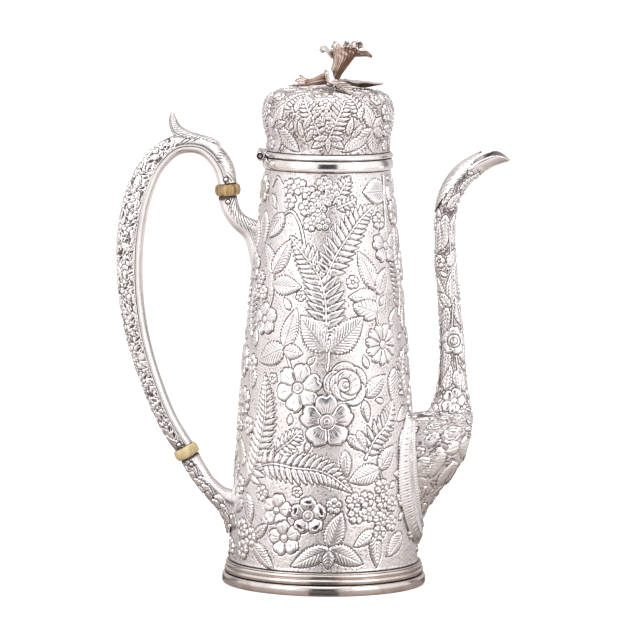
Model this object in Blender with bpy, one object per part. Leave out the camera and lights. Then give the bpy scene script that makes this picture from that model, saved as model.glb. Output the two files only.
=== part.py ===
"""Tall silver coffee pot: a tapering raised body with a hinged lid, a side spout and an insulated handle.

+X runs to the spout, -X to the handle, +Z up. The origin is the centre of the foot's resting plane.
Lengths below are in millimetres; `place` turns them into metres.
"""

import math

import bmesh
import bpy
import numpy as np
from mathutils import Matrix, Vector

MM = 0.001
GAP = 0.3

# Turned pieces
SEGMENTS = 40
BODY_LOW, BODY_HIGH = 10.9, 194.9
BODY_RADIUS_TOP = 30.0
BODY_RADIUS_FALL = 21.4
BODY_RADIUS_BEND = -6.8
BODY_CURVE_TOP, BODY_CURVE_HEIGHT = 193.0, 180.4
BODY_CUT_SPAN = (12.0, 194.0)
BODY_WALL = 1.2
NECK_LOW, NECK_RADIUS = 1.5, 43.3
FOOT_RADIUS, FOOT_HEIGHT = 47.8, 4.9
MOULDING_RADIUS, MOULDING_TOP = 46.4, 10.6
BAND_RADIUS, BAND_BORE = 30.6, 28.9
BAND_LOW, PARTING = 195.2, 200.6
PARTING_GAP = 0.3
LID_BAND_TOP = 203.2
LID_WALL = 1.0
LID_OUTLINE = [(29.0, 203.5), (29.0, 209.0), (30.2, 214.0), (31.0, 219.0), (30.6, 223.5), (29.6, 227.0),
               (26.0, 230.6), (20.0, 231.9), (10.0, 232.5), (0.0, 232.6)]
BEZEL_RADIUS, BEZEL_LOW, BEZEL_WALL = 28.3, 196.2, 0.9

# Hinge
HINGE_X, HINGE_Z = -31.6, 201.2
BARREL_RADIUS, BARREL_LENGTH, KNUCKLES = 1.8, 18.6, 5
PIN_RADIUS, PIN_CLEARANCE = 0.75, 0.07
KNUCKLE_GAP = 0.2
HINGE_RELIEF = BARREL_RADIUS + GAP
BODY_PLATE = [(-2.2, -1.9), (-1.6, -2.7), (0.2, -3.6), (3.6, -5.4), (3.6, -1.6), (0, 0)]
LID_PLATE = [(-2.15, 1.95), (-1.7, 2.7), (-0.4, 3.4), (2.0, 5.2), (3.6, 5.4), (3.6, 0.8), (0, 0)]
PLATE_BAND_SPAN = (190.0, 204.0)
PLATE_LID_LOW = 195.0

# Handle: x, z of the middle of the section, and its depth across the loop
HANDLE_STATIONS = [(-46.9, 187.45, 8.9), (-49.4, 196.2, 9.5), (-59.0, 205.0, 8.8), (-70.0, 205.3, 9.4),
                   (-80.3, 197.8, 11.2), (-87.6, 183.6, 12.6), (-91.9, 162.0, 12.9), (-92.1, 142.0, 12.1),
                   (-88.1, 114.3, 11.1), (-80.4, 90.3, 10.1), (-73.4, 74.4, 9.7), (-66.4, 63.6, 9.2)]
HANDLE_RINGS = 32
HANDLE_LEAST_WIDTH, HANDLE_WIDTH_SHARE = 3.1, 0.62
STRIP_DEPTH, STRIP_SHARE = 3.6, 0.82
SHELL_WALL = 1.1
UPPER_INSULATOR = (-46.7, 184.5)
UPPER_INSULATOR_LEAN = math.radians(4.5)
LOWER_INSULATOR = (-65.0, 61.0)
LOWER_INSULATOR_LEAN = math.radians(-150.7)
INSULATOR_RADIUS, INSULATOR_THICK, INSULATOR_SWELL = 5.95, 5.3, 1.1
TENON_RADIUS, TENON_LENGTH = 2.4, 5.6
RIVET_RADIUS, RIVET_CLEARANCE = 0.85, 0.07
RIVETS = {"upper_handle_pin": (-47.5, 189.6, 10.2), "upper_socket_pin": (-46.4, 179.2, 10.0),
          "lower_handle_pin": (-68.5, 64.6, 10.6), "lower_socket_pin": (-62.6, 55.4, 10.4)}
THUMB_STATIONS = [(-73.2, -63.0, 211.6, 3.6), (-73.8, -68.0, 213.9, 3.2), (-74.1, -69.6, 216.4, 2.4),
                  (-73.9, -70.8, 218.8, 1.5), (-72.6, -71.9, 221.2, 0.4)]

# Sockets and spout: inner edge x, z; outer edge x, z; half width
UPPER_SOCKET_STATIONS = [(-42.4, 181.8, -51.0, 181.1, 4.3), (-41.9, 178.3, -50.4, 177.6, 4.2),
                         (-40.4, 174.6, -48.9, 173.4, 4.3), (-37.6, 172.0, -45.0, 167.6, 4.6),
                         (-34.4, 170.6, -38.9, 161.5, 5.2), (-31.0, 169.8, -36.0, 151.0, 5.4),
                         (-26.0, 169.0, -34.5, 139.0, 5.0)]
LOWER_SOCKET_STATIONS = [(-59.4, 60.6, -67.5, 56.1, 4.4), (-55.6, 54.0, -63.7, 49.8, 4.5),
                         (-52.6, 49.4, -60.2, 44.9, 4.6), (-49.4, 46.2, -54.8, 38.6, 4.9),
                         (-46.0, 43.9, -48.9, 31.2, 5.6), (-40.0, 43.0, -45.6, 22.0, 5.8)]
SOCKET_RINGS, SOCKET_POINTS = 9, 14
SPOUT_STATIONS = [(24.0, 27.6, 45.3, 27.6, 3.0), (22.0, 33.5, 48.3, 33.5, 7.8),
                  (17.0, 40.5, 52.6, 40.5, 10.8), (12.0, 50.0, 60.2, 50.0, 12.7), (10.0, 60.0, 66.2, 60.0, 13.4),
                  (12.0, 69.5, 68.8, 69.5, 13.2), (22.0, 76.0, 69.4, 76.0, 12.0),
                  (37.0, 79.2, 69.2, 79.6, 10.8), (47.0, 81.0, 68.7, 82.4, 9.6), (50.4, 86.0, 67.9, 87.0, 8.4),
                  (52.4, 95.0, 66.6, 95.6, 7.2), (53.2, 113.0, 65.1, 113.6, 6.3),
                  (51.6, 137.0, 62.5, 137.4, 5.8), (50.1, 160.0, 60.4, 160.0, 5.4),
                  (50.9, 176.5, 60.9, 175.3, 5.3), (54.9, 186.6, 64.2, 184.6, 5.5),
                  (60.3, 193.6, 70.0, 191.2, 5.8), (65.6, 197.4, 77.0, 196.2, 6.3),
                  (71.6, 199.8, 85.2, 199.1, 5.8)]
SPOUT_RINGS, SPOUT_POINTS = 26, 18
SPOUT_WALL = 1.2
LIP_CROWN = 1.9
STRAINER_RADIUS, STRAINER_PITCH = 1.5, 5.4
STRAINER_X, STRAINER_Z, STRAINER_DEPTH = 42.0, 56.0, 14.0
STRAINER_ROWS = ((-2, 3), (-1, 4), (0, 5), (1, 4), (2, 3))

# Border of the spout's base, wrapped on the body: arc length and z of its outer edge, then its inner edge
BORDER_STATIONS = [(0.0, 18.5, 0.0, 26.6), (12.6, 21.1, 5.2, 28.3), (21.2, 28.0, 9.3, 33.5),
                   (26.0, 37.5, 12.0, 40.5), (28.2, 47.5, 13.8, 50.0), (27.4, 58.5, 14.5, 60.0),
                   (24.2, 69.5, 14.3, 69.8), (16.7, 80.7, 12.4, 80.4)]
BORDER_RINGS = 28
BORDER_EDGE, BORDER_CROWN = 1.0, 2.3

# Leaf that overlaps the neck behind the pouring lip: middle x, z, half width
SPOUT_LEAF = [(50.2, 177.5, 2.6), (53.9, 187.3, 3.8), (58.0, 193.0, 4.3), (64.8, 199.6, 3.2),
              (70.8, 203.9, 0.5)]
SPOUT_LEAF_THICK = 0.9

# Finial
HUB = (0.6, 0.0, 235.4)
HUB_RADIUS = 2.4
STUD_RADIUS = 1.2
NUT_RADIUS, NUT_THICK = 3.4, 2.0
NUT_CLEARANCE, STUD_CLEARANCE, STUD_SPARE = 0.08, 0.1, 0.6
LID_CEILING = 231.6
UPRIGHT_BASE, UPRIGHT_AXIS = (2.2, 0.0, 236.6), (0.30, 0.0, 0.954)
UPRIGHT_OUTLINE = [(0.0, 0.0), (2.1, 0.4), (2.3, 3.0), (3.9, 8.2), (6.6, 11.2), (11.8, 13.9),
                   (11.4, 14.7), (5.8, 12.4), (2.6, 9.4), (0.0, 8.4)]
SIDE_BASE, SIDE_AXIS = (-0.4, 0.0, 236.4), (-0.985, 0.0, -0.06)
SIDE_OUTLINE = [(0.0, 0.0), (2.3, 0.4), (2.8, 3.4), (1.5, 8.4), (1.9, 11.4), (2.7, 14.8),
                (2.1, 15.2), (0.9, 12.4), (0.0, 12.0)]
FINIAL_LEAVES = {
    "finial_front_leaf": [(0.9, -1.8, 237.2, 1.6), (-0.2, -5.4, 240.0, 2.4), (0.8, -10.5, 237.6, 3.2),
                          (4.2, -16.0, 233.9, 3.4), (8.2, -21.4, 232.3, 0.5)],
    "finial_right_leaf": [(2.0, 0.6, 235.4, 1.5), (9.0, 0.4, 235.6, 3.6), (16.0, -0.6, 235.3, 3.8),
                          (24.6, -1.2, 234.7, 0.5)],
    "finial_back_leaf": [(0.8, 2.0, 234.7, 1.4), (4.0, 8.0, 234.6, 3.4), (7.0, 14.0, 233.9, 3.2),
                         (10.0, 20.0, 233.1, 0.5)],
}
FINIAL_LEAF_THICK = 0.8
VENT_RADIUS, VENT_PLACE = 0.9, (-12.0, 9.0)
LID_CUT_Z, LID_CUT_LENGTH = 231.0, 8.0

LID_PIECES = ("lid_", "finial_", "hinge_lid")


def clear_scene():
    for obj in list(bpy.data.objects):
        bpy.data.objects.remove(obj, do_unlink=True)


def material(name, color, roughness, metallic):
    found = bpy.data.materials.get(name)
    if found:
        return found
    made = bpy.data.materials.new(name)
    made.use_nodes = True
    shader = made.node_tree.nodes["Principled BSDF"]
    shader.inputs["Base Color"].default_value = (*color, 1.0)
    shader.inputs["Roughness"].default_value = roughness
    shader.inputs["Metallic"].default_value = metallic
    return made


def silver(name):
    return material(name + "_silver", (0.90, 0.88, 0.86), 0.16, 1.0)


def bone(name):
    return material(name + "_bone", (0.80, 0.66, 0.40), 0.42, 0.0)


def body_radius(z):
    """Outer radius of the raised body, wider and rounder towards the foot."""
    t = (BODY_CURVE_TOP - z) / BODY_CURVE_HEIGHT
    return BODY_RADIUS_TOP + BODY_RADIUS_FALL * t + BODY_RADIUS_BEND * t * t


def smooth_path(points, count):
    """`count` rows evenly spaced along a smooth curve through the points."""
    p = np.array(points, float)
    s = np.concatenate([[0.0], np.cumsum(np.linalg.norm(np.diff(p, axis=0), axis=1))])
    slope = np.diff(p, axis=0) / np.diff(s)[:, None]
    before, after = np.diff(s)[:-1, None], np.diff(s)[1:, None]
    inner = (slope[:-1] * after + slope[1:] * before) / (before + after)
    tangent = np.vstack([1.5 * slope[0] - 0.5 * inner[0], inner, 1.5 * slope[-1] - 0.5 * inner[-1]])
    rows = []
    for at in np.linspace(0.0, s[-1], count):
        i = min(int(np.searchsorted(s, at, side="right")) - 1, len(s) - 2)
        h = s[i + 1] - s[i]
        u = (at - s[i]) / h
        rows.append(
            (2 * u**3 - 3 * u**2 + 1) * p[i]
            + (u**3 - 2 * u**2 + u) * h * tangent[i]
            + (3 * u**2 - 2 * u**3) * p[i + 1]
            + (u**3 - u**2) * h * tangent[i + 1]
        )
    return np.array(rows)


def place(name, mesh, paint, origin=(0.0, 0.0, 0.0)):
    """An object whose mesh is given in millimetres round `origin`."""
    mesh.transform(Matrix.Scale(MM, 4))
    obj = bpy.data.objects.new(name, mesh)
    obj.location = Vector(origin) * MM
    bpy.context.collection.objects.link(obj)
    if paint:
        mesh.materials.append(paint)
    mesh.shade_smooth()
    mesh.set_sharp_from_angle(angle=math.radians(38))
    return obj


def mesh_of(name, bm):
    bmesh.ops.remove_doubles(bm, verts=bm.verts, dist=1e-4)
    bmesh.ops.recalc_face_normals(bm, faces=bm.faces)
    mesh = bpy.data.meshes.new(name)
    bm.to_mesh(mesh)
    bm.free()
    return mesh


def turned(name, outline, paint, segments=SEGMENTS, base=(0, 0, 0), axis=(0, 0, 1)):
    """Spins an outline of (radius, height) points about `axis` through `base`."""
    bm = bmesh.new()
    points = [bm.verts.new((r, 0.0, z)) for r, z in outline]
    on_axis = outline[0][0] == 0.0 and outline[-1][0] == 0.0
    ends = zip(points, points[1:] if on_axis else points[1:] + points[:1])
    edges = [bm.edges.new(pair) for pair in ends]
    bmesh.ops.spin(bm, geom=points + edges, cent=(0, 0, 0), axis=(0, 0, 1), angle=2 * math.pi, steps=segments)
    turn = Vector((0, 0, 1)).rotation_difference(Vector(axis))
    bmesh.ops.transform(bm, matrix=Matrix.Translation(base) @ turn.to_matrix().to_4x4(), verts=bm.verts)
    return place(name, mesh_of(name, bm), paint)


def lofted(name, rings, paint, hollow=False):
    """Skins rings of points. A hollow skin closes on itself; the other gets a cap at each end."""
    bm = bmesh.new()
    loops = [[bm.verts.new(tuple(p)) for p in ring] for ring in rings]
    pairs = list(zip(loops, loops[1:]))
    if hollow:
        pairs.append((loops[-1], loops[0]))
    for low, high in pairs:
        for i in range(len(low)):
            j = (i + 1) % len(low)
            bm.faces.new((low[i], low[j], high[j], high[i]))
    if not hollow:
        bm.faces.new(loops[0])
        bm.faces.new(loops[-1])
    return place(name, mesh_of(name, bm), paint)


def rod(name, centre, radius, length, paint, segments=20, axis=(0, 1, 0)):
    """A plain round bar centred on a point."""
    ends = [(0.0, -length / 2), (radius, -length / 2), (radius, length / 2), (0.0, length / 2)]
    return turned(name, ends, paint, segments, centre, axis)


def cutter(obj):
    obj.hide_render = True
    obj.display_type = "WIRE"
    return obj


def cut(obj, *tools):
    for tool in tools:
        step = obj.modifiers.new("cut_" + tool.name, "BOOLEAN")
        step.operation = "DIFFERENCE"
        step.solver = "EXACT"
        step.object = tool


def ellipse_ring(inner, outer, half_width, shrink, count, crown=0.0):
    """Points round the ellipse that spans inner and outer edge points in the XZ plane."""
    inner, outer = np.array(inner), np.array(outer)
    middle, half = (inner + outer) / 2, (outer - inner) / 2
    length = np.linalg.norm(half)
    half = half * (length - shrink) / length
    ring = []
    for angle in np.linspace(0.0, 2 * math.pi, count, endpoint=False):
        x, z = middle + half * math.cos(angle)
        ring.append((x, (half_width - shrink) * math.sin(angle), z + crown * math.sin(angle) ** 2))
    return ring


def tube_rings(stations, count, wall, points, crown=0.0):
    """Outer rings up a tube and inner rings back down, for a hollow loft."""
    rows = smooth_path(stations, count)
    lift = [crown * max(0.0, (i - (count - 4)) / 3.0) for i in range(count)]
    outer = [ellipse_ring(r[:2], r[2:4], r[4], 0.0, points, c) for r, c in zip(rows, lift)]
    inner = [ellipse_ring(r[:2], r[2:4], r[4], wall, points, c) for r, c in zip(rows, lift)]
    return outer + inner[::-1]


def inset_outline(outline, wall):
    """The outline moved inwards, to the left of its direction of travel."""
    p = np.array(outline)
    step = np.gradient(p, axis=0)
    normal = np.stack([-step[:, 1], step[:, 0]], axis=1)
    normal /= np.linalg.norm(normal, axis=1)[:, None]
    return [(max(float(r), 0.0), float(z)) for r, z in p + wall * normal]


def body_shell():
    outer = [(body_radius(z), z) for z in np.linspace(BODY_LOW, BODY_HIGH, 7)]
    inner = [(r - BODY_WALL, z) for r, z in outer[1:]]
    neck = [(NECK_RADIUS - BODY_WALL, BODY_LOW), (NECK_RADIUS - BODY_WALL, NECK_LOW),
            (NECK_RADIUS, NECK_LOW), (NECK_RADIUS, BODY_LOW)]
    shell = turned("body_shell", outer + inner[::-1] + neck, silver("body"))
    cut(shell, strainer_cutter())
    return shell


def strainer_cutter():
    """Round bars in staggered rows that pierce the strainer."""
    bm = bmesh.new()
    turn = Matrix.Rotation(math.pi / 2, 4, "Y")
    for row, number in STRAINER_ROWS:
        z = STRAINER_Z + row * STRAINER_PITCH * math.sin(math.pi / 3)
        for i in range(number):
            y = (i - (number - 1) / 2) * STRAINER_PITCH
            bmesh.ops.create_cone(bm, cap_ends=True, segments=10, radius1=STRAINER_RADIUS,
                                  radius2=STRAINER_RADIUS, depth=STRAINER_DEPTH,
                                  matrix=Matrix.Translation((STRAINER_X, y, z)) @ turn)
    return cutter(place("strainer_cutter", mesh_of("strainer_cutter", bm), None))


def bottom_plate():
    disc = [(0.0, 0.0), (NECK_RADIUS, 0.0), (NECK_RADIUS, NECK_LOW - GAP), (0.0, NECK_LOW - GAP)]
    turned("bottom_plate", disc, silver("bottom"))


def foot_band():
    bore = NECK_RADIUS + GAP
    swell = [(FOOT_RADIUS - 1.4 * (1 - math.cos(a)) - 0.1, FOOT_HEIGHT / 2 + FOOT_HEIGHT / 2 * math.sin(a))
             for a in np.radians([-75, -40, 0, 40, 75])]
    turned("foot_band", [(bore, 0.0), (FOOT_RADIUS - 1.0, 0.0), *swell, (bore, FOOT_HEIGHT)], silver("foot"))


def base_moulding():
    bore, low = NECK_RADIUS + GAP, FOOT_HEIGHT + GAP
    outline = [(bore, low), (MOULDING_RADIUS, low), (MOULDING_RADIUS + 0.4, low + 1.2),
               (MOULDING_RADIUS - 0.2, low + 2.4), (MOULDING_RADIUS - 0.6, low + 2.9),
               (MOULDING_RADIUS - 0.1, low + 3.8), (MOULDING_RADIUS - 0.6, MOULDING_TOP), (bore, MOULDING_TOP)]
    turned("base_moulding", outline, silver("moulding"))


def barrel_cutter():
    return cutter(rod("hinge_relief", (HINGE_X, 0, HINGE_Z), HINGE_RELIEF, BARREL_LENGTH + 1.2, None, 28))


def mouth_band(relief):
    top = PARTING - PARTING_GAP / 2
    outline = [(BAND_BORE, BAND_LOW), (BAND_RADIUS - 0.7, BAND_LOW), (BAND_RADIUS - 0.2, BAND_LOW + 1.0),
               (BAND_RADIUS, BAND_LOW + 2.6), (BAND_RADIUS - 0.2, top - 1.0), (BAND_RADIUS - 0.5, top),
               (BAND_BORE, top)]
    cut(turned("mouth_band", outline, silver("mouth")), relief)


def lid_band(relief):
    low, bore = PARTING + PARTING_GAP / 2, BEZEL_RADIUS + GAP
    outline = [(bore, low), (BAND_RADIUS - 0.4, low), (BAND_RADIUS, low + 1.1),
               (BAND_RADIUS - 0.5, LID_BAND_TOP), (bore, LID_BAND_TOP)]
    cut(turned("lid_band", outline, silver("lid_band")), relief)


def lid_shell():
    outer = [tuple(p) for p in smooth_path(LID_OUTLINE, 13)]
    outer[-1] = (0.0, outer[-1][1])
    inner = inset_outline(outer, LID_WALL)[::2]
    inner[0], inner[-1] = (outer[0][0] - LID_WALL, outer[0][1]), (0.0, outer[-1][1] - LID_WALL)
    shell = turned("lid_shell", outer[::-1] + inner, silver("lid"))
    upright = (0, 0, 1)
    vent = cutter(rod("vent_cutter", (*VENT_PLACE, LID_CUT_Z), VENT_RADIUS, LID_CUT_LENGTH, None, 12, upright))
    stud = cutter(rod("stud_cutter", (*HUB[:2], LID_CUT_Z), STUD_RADIUS + STUD_CLEARANCE, LID_CUT_LENGTH, None,
                      16, upright))
    cut(shell, vent, stud)


def lid_bezel():
    inner, top = BEZEL_RADIUS - BEZEL_WALL, LID_BAND_TOP - 0.2
    outline = [(inner, BEZEL_LOW), (BEZEL_RADIUS, BEZEL_LOW), (BEZEL_RADIUS, top), (inner, top)]
    turned("lid_bezel", outline, silver("bezel"))


def hinge_plate(name, outline, neighbours):
    """A short bracket, `outline` in XZ about the hinge axis, that ties the knuckles to a band."""
    half = BARREL_LENGTH / 2 - 0.6
    rings = [[(HINGE_X + x, y, HINGE_Z + z) for x, z in outline] for y in (-half, half)]
    cut(lofted(name, rings, silver("hinge")), *neighbours)


def hinge(relief):
    length = (BARREL_LENGTH - (KNUCKLES - 1) * KNUCKLE_GAP) / KNUCKLES
    bore = PIN_RADIUS + PIN_CLEARANCE
    names = ("hinge_body_knuckle_front", "hinge_lid_knuckle_front", "hinge_body_knuckle_middle",
             "hinge_lid_knuckle_back", "hinge_body_knuckle_back")
    for i, name in enumerate(names):
        start = -BARREL_LENGTH / 2 + i * (length + KNUCKLE_GAP)
        ring = [(bore, 0.0), (BARREL_RADIUS, 0.0), (BARREL_RADIUS, length), (bore, length)]
        turned(name, ring, silver("hinge"), 24, (HINGE_X, start, HINGE_Z), (0, 1, 0))
    rod("hinge_pin", (HINGE_X, 0, HINGE_Z), PIN_RADIUS, BARREL_LENGTH + 0.6, silver("hinge"), 24)
    low, high = PLATE_BAND_SPAN
    room = BAND_RADIUS + GAP
    band = cutter(turned("band_cutter", [(0.0, low), (room, low), (room, high), (0.0, high)], None))
    side, top = LID_OUTLINE[1]
    around_lid = [(0.0, PLATE_LID_LOW), (room, PLATE_LID_LOW), (room, LID_BAND_TOP + GAP),
                  (side + GAP, LID_BAND_TOP + GAP), (side + GAP, top), (0.0, top)]
    lid = cutter(turned("lid_cutter", around_lid, None))
    hinge_plate("hinge_body_plate", BODY_PLATE, (relief, band))
    hinge_plate("hinge_lid_plate", LID_PLATE, (relief, lid))


def handle_frames():
    """Middle, outward direction and depth of each section of the handle."""
    rows = smooth_path(HANDLE_STATIONS, HANDLE_RINGS)
    step = np.gradient(rows[:, :2], axis=0)
    step[0] = (-math.sin(UPPER_INSULATOR_LEAN), math.cos(UPPER_INSULATOR_LEAN))
    step[-1] = (-math.sin(LOWER_INSULATOR_LEAN), math.cos(LOWER_INSULATOR_LEAN))
    step /= np.linalg.norm(step, axis=1)[:, None]
    outward = np.stack([step[:, 1], -step[:, 0]], axis=1)
    return [(row[:2], out, row[2]) for row, out in zip(rows, outward)]


def handle_width(depth):
    return HANDLE_LEAST_WIDTH + HANDLE_WIDTH_SHARE * depth


def channel_ring(middle, out, base, depth, half, wall, count):
    """A half-round channel: out along the arc and back along its inner face."""
    ring = []
    for shrink, angles in ((0.0, np.linspace(-90, 90, count)), (wall, np.linspace(90, -90, count))):
        for angle in np.radians(angles):
            reach = base + math.copysign(abs(depth) - shrink, depth) * math.cos(angle)
            x, z = middle + out * reach
            ring.append((x, (half - shrink) * math.sin(angle), z))
    return ring


def handle(holes):
    outer, inner = [], []
    for middle, out, depth in handle_frames():
        split = -depth / 2 + STRIP_DEPTH
        half = handle_width(depth) / 2
        outer.append(channel_ring(middle, out, split, depth - STRIP_DEPTH, half, SHELL_WALL, 10))
        inner.append(channel_ring(middle, out, split - GAP, GAP - STRIP_DEPTH, half * STRIP_SHARE, SHELL_WALL, 7))
    cut(lofted("handle_outer_shell", outer, silver("handle")), *holes)
    cut(lofted("handle_inner_strip", inner, silver("strip")), *holes)


def thumb_leaf():
    rings = []
    for left, right, z, half in THUMB_STATIONS:
        rings.append(ellipse_ring((left, z), (right, z), half, 0.0, 12))
    lofted("thumb_leaf", rings, silver("thumb"))


def insulator(name, centre, lean, holes):
    """A swelling collar of bone with a tenon on each side."""
    side = INSULATOR_THICK / 2
    turns = np.radians([-70, -38, 0, 38, 70])
    swell = [(INSULATOR_RADIUS - INSULATOR_SWELL * (1 - math.cos(a)) / (1 - math.cos(turns[-1])),
              side * math.sin(a) / math.sin(turns[-1])) for a in turns]
    end = side + TENON_LENGTH
    outline = [(0.0, -end), (TENON_RADIUS, -end), (TENON_RADIUS, -side), *swell,
               (TENON_RADIUS, side), (TENON_RADIUS, end), (0.0, end)]
    ring = turned(name, outline, bone(name), 20, (centre[0], 0, centre[1]), (-math.sin(lean), 0, math.cos(lean)))
    cut(ring, *holes)


def body_cutter():
    """The body's solid form, a little larger, which shapes the feet of the spout and the sockets."""
    low, high = BODY_CUT_SPAN
    side = [(body_radius(z) + GAP, z) for z in np.linspace(low, high, 7)]
    return cutter(turned("body_cutter", [(0.0, low), *side, (0.0, high)], None))


def sockets(body, holes):
    for name, stations in (("upper_handle_socket", UPPER_SOCKET_STATIONS),
                           ("lower_handle_socket", LOWER_SOCKET_STATIONS)):
        rings = tube_rings(stations, SOCKET_RINGS, SHELL_WALL, SOCKET_POINTS)
        cut(lofted(name, rings, silver("socket"), hollow=True), body, *holes)


def rivet_pins():
    holes = []
    for name, (x, z, length) in RIVETS.items():
        rod(name, (x, 0, z), RIVET_RADIUS, length, silver("pin"), 16)
        hole = rod(name + "_cutter", (x, 0, z), RIVET_RADIUS + RIVET_CLEARANCE, length + 4.0, None, 16)
        holes.append(cutter(hole))
    return holes


def spout(body):
    shell = lofted("spout_shell", tube_rings(SPOUT_STATIONS, SPOUT_RINGS, SPOUT_WALL, SPOUT_POINTS, LIP_CROWN),
                   silver("spout"), hollow=True)
    cut(shell, body)


def on_body(arc, z, height):
    """A point above the body's surface, `arc` round from the spout's side."""
    radius = body_radius(z)
    angle = arc / radius
    return ((radius + height) * math.cos(angle), (radius + height) * math.sin(angle), z)


def spout_border():
    """Border of the spout's base: a rising skirt wrapped on the body, open at its top."""
    half = smooth_path(BORDER_STATIONS, BORDER_RINGS // 2 + 1)
    rows = [(-r[0], r[1], -r[2], r[3]) for r in half[:0:-1]] + [tuple(r) for r in half]
    rings = []
    for arc_out, z_out, arc_in, z_in in rows:
        skin = [(0.0, BORDER_EDGE), (0.35, 1.7), (0.7, BORDER_CROWN), (1.0, BORDER_CROWN)]
        ring = []
        for t, height in skin + [(1.0, GAP), (0.5, GAP), (0.0, GAP)]:
            ring.append(on_body(arc_out + (arc_in - arc_out) * t, z_out + (z_in - z_out) * t, height))
        rings.append(ring)
    lofted("spout_border", rings, silver("border"))


def blade(name, stations, thick, paint, along_y=False):
    """A leaf-shaped bar: lens sections along a path, wide across it."""
    rows = smooth_path(stations, 9)
    path = rows[:, :3]
    step = np.gradient(path, axis=0)
    rings = []
    for middle, run, half in zip(path, step, rows[:, 3]):
        across = np.array((0.0, 1.0, 0.0)) if along_y else np.cross(run, (0.0, 0.0, 1.0))
        across /= np.linalg.norm(across)
        up = np.cross(across, run)
        up /= np.linalg.norm(up)
        ring = []
        for angle in np.linspace(0, 2 * math.pi, 8, endpoint=False):
            flat = across * half * math.cos(angle) + up * thick / 2 * math.sin(angle)
            ring.append(middle + flat)
        rings.append(ring)
    return lofted(name, rings, paint)


def spout_leaf():
    stations = [(x, 0.0, z, half) for x, z, half in SPOUT_LEAF]
    blade("spout_leaf", stations, SPOUT_LEAF_THICK, silver("leaf"), along_y=True)


def finial():
    arc = np.radians(np.linspace(-90, 90, 9))
    ball = [(HUB_RADIUS * math.cos(a), HUB_RADIUS * math.sin(a)) for a in arc]
    ball[0], ball[-1] = (0.0, -HUB_RADIUS), (0.0, HUB_RADIUS)
    turned("finial_hub", ball, silver("finial"), 16, HUB)
    room = [(r + GAP * r / HUB_RADIUS, z * (1 + GAP / HUB_RADIUS)) for r, z in ball]
    around = cutter(turned("hub_cutter", room, None, 16, HUB))
    upright = turned("finial_upright_blossom", UPRIGHT_OUTLINE, silver("finial"), 22, UPRIGHT_BASE, UPRIGHT_AXIS)
    side = turned("finial_side_blossom", SIDE_OUTLINE, silver("finial"), 16, SIDE_BASE, SIDE_AXIS)
    cut(upright, around)
    cut(side, around)
    for name, stations in FINIAL_LEAVES.items():
        cut(blade(name, stations, FINIAL_LEAF_THICK, silver("finial")), around)
    seat = LID_CEILING - NUT_THICK - GAP
    low = seat - STUD_SPARE
    top = HUB[2] - HUB_RADIUS - STUD_CLEARANCE
    rod("finial_stud", (HUB[0], 0, (low + top) / 2), STUD_RADIUS, top - low, silver("finial"), 16, (0, 0, 1))
    bore = STUD_RADIUS + NUT_CLEARANCE
    nut = [(bore, 0.0), (NUT_RADIUS, 0.0), (NUT_RADIUS, NUT_THICK), (bore, NUT_THICK)]
    turned("finial_nut", nut, silver("finial"), 24, (HUB[0], 0, seat))


def hang_lid():
    """Parents everything that opens to an empty on the hinge axis."""
    pivot = bpy.data.objects.new("lid_hinge", None)
    pivot.location = Vector((HINGE_X, 0, HINGE_Z)) * MM
    bpy.context.collection.objects.link(pivot)
    for obj in list(bpy.data.objects):
        if obj.name.startswith(LID_PIECES) and not obj.hide_render and obj is not pivot:
            obj.parent = pivot
            obj.matrix_parent_inverse = Matrix.Translation(-pivot.location)


def main():
    clear_scene()
    body = body_cutter()
    relief = barrel_cutter()
    holes = rivet_pins()
    body_shell()
    bottom_plate()
    foot_band()
    base_moulding()
    mouth_band(relief)
    lid_band(relief)
    lid_shell()
    lid_bezel()
    hinge(relief)
    handle([holes[0], holes[2]])
    thumb_leaf()
    insulator("upper_insulator", UPPER_INSULATOR, UPPER_INSULATOR_LEAN, holes[:2])
    insulator("lower_insulator", LOWER_INSULATOR, LOWER_INSULATOR_LEAN, holes[2:])
    sockets(body, [holes[1], holes[3]])
    spout(body)
    spout_border()
    spout_leaf()
    finial()
    hang_lid()


main()
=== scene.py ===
"""Looks of the silver coffee pot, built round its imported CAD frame.

Lengths are in millimetres and `MM` turns them into metres. Angles round the pot start at the side that
faces the camera (-Y) and grow towards the spout (+X).
"""

import math

import bpy
import numpy as np
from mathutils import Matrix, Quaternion, Vector


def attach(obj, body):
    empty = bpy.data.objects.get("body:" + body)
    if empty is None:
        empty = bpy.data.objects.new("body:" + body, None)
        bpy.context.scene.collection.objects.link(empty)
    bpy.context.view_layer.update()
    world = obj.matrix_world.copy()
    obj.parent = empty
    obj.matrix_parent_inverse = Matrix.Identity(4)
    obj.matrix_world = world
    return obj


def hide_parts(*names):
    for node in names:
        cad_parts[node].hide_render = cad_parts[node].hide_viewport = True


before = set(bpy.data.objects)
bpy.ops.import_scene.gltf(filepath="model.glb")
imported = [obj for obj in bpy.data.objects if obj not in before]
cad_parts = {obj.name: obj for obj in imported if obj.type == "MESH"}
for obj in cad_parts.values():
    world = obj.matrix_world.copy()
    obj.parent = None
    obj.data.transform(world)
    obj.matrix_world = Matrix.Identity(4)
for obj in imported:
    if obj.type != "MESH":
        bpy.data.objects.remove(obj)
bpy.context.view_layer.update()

MM = 0.001
STEP = 0.32
random = np.random.default_rng(11)


# ---------------------------------------------------------------- materials


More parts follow.
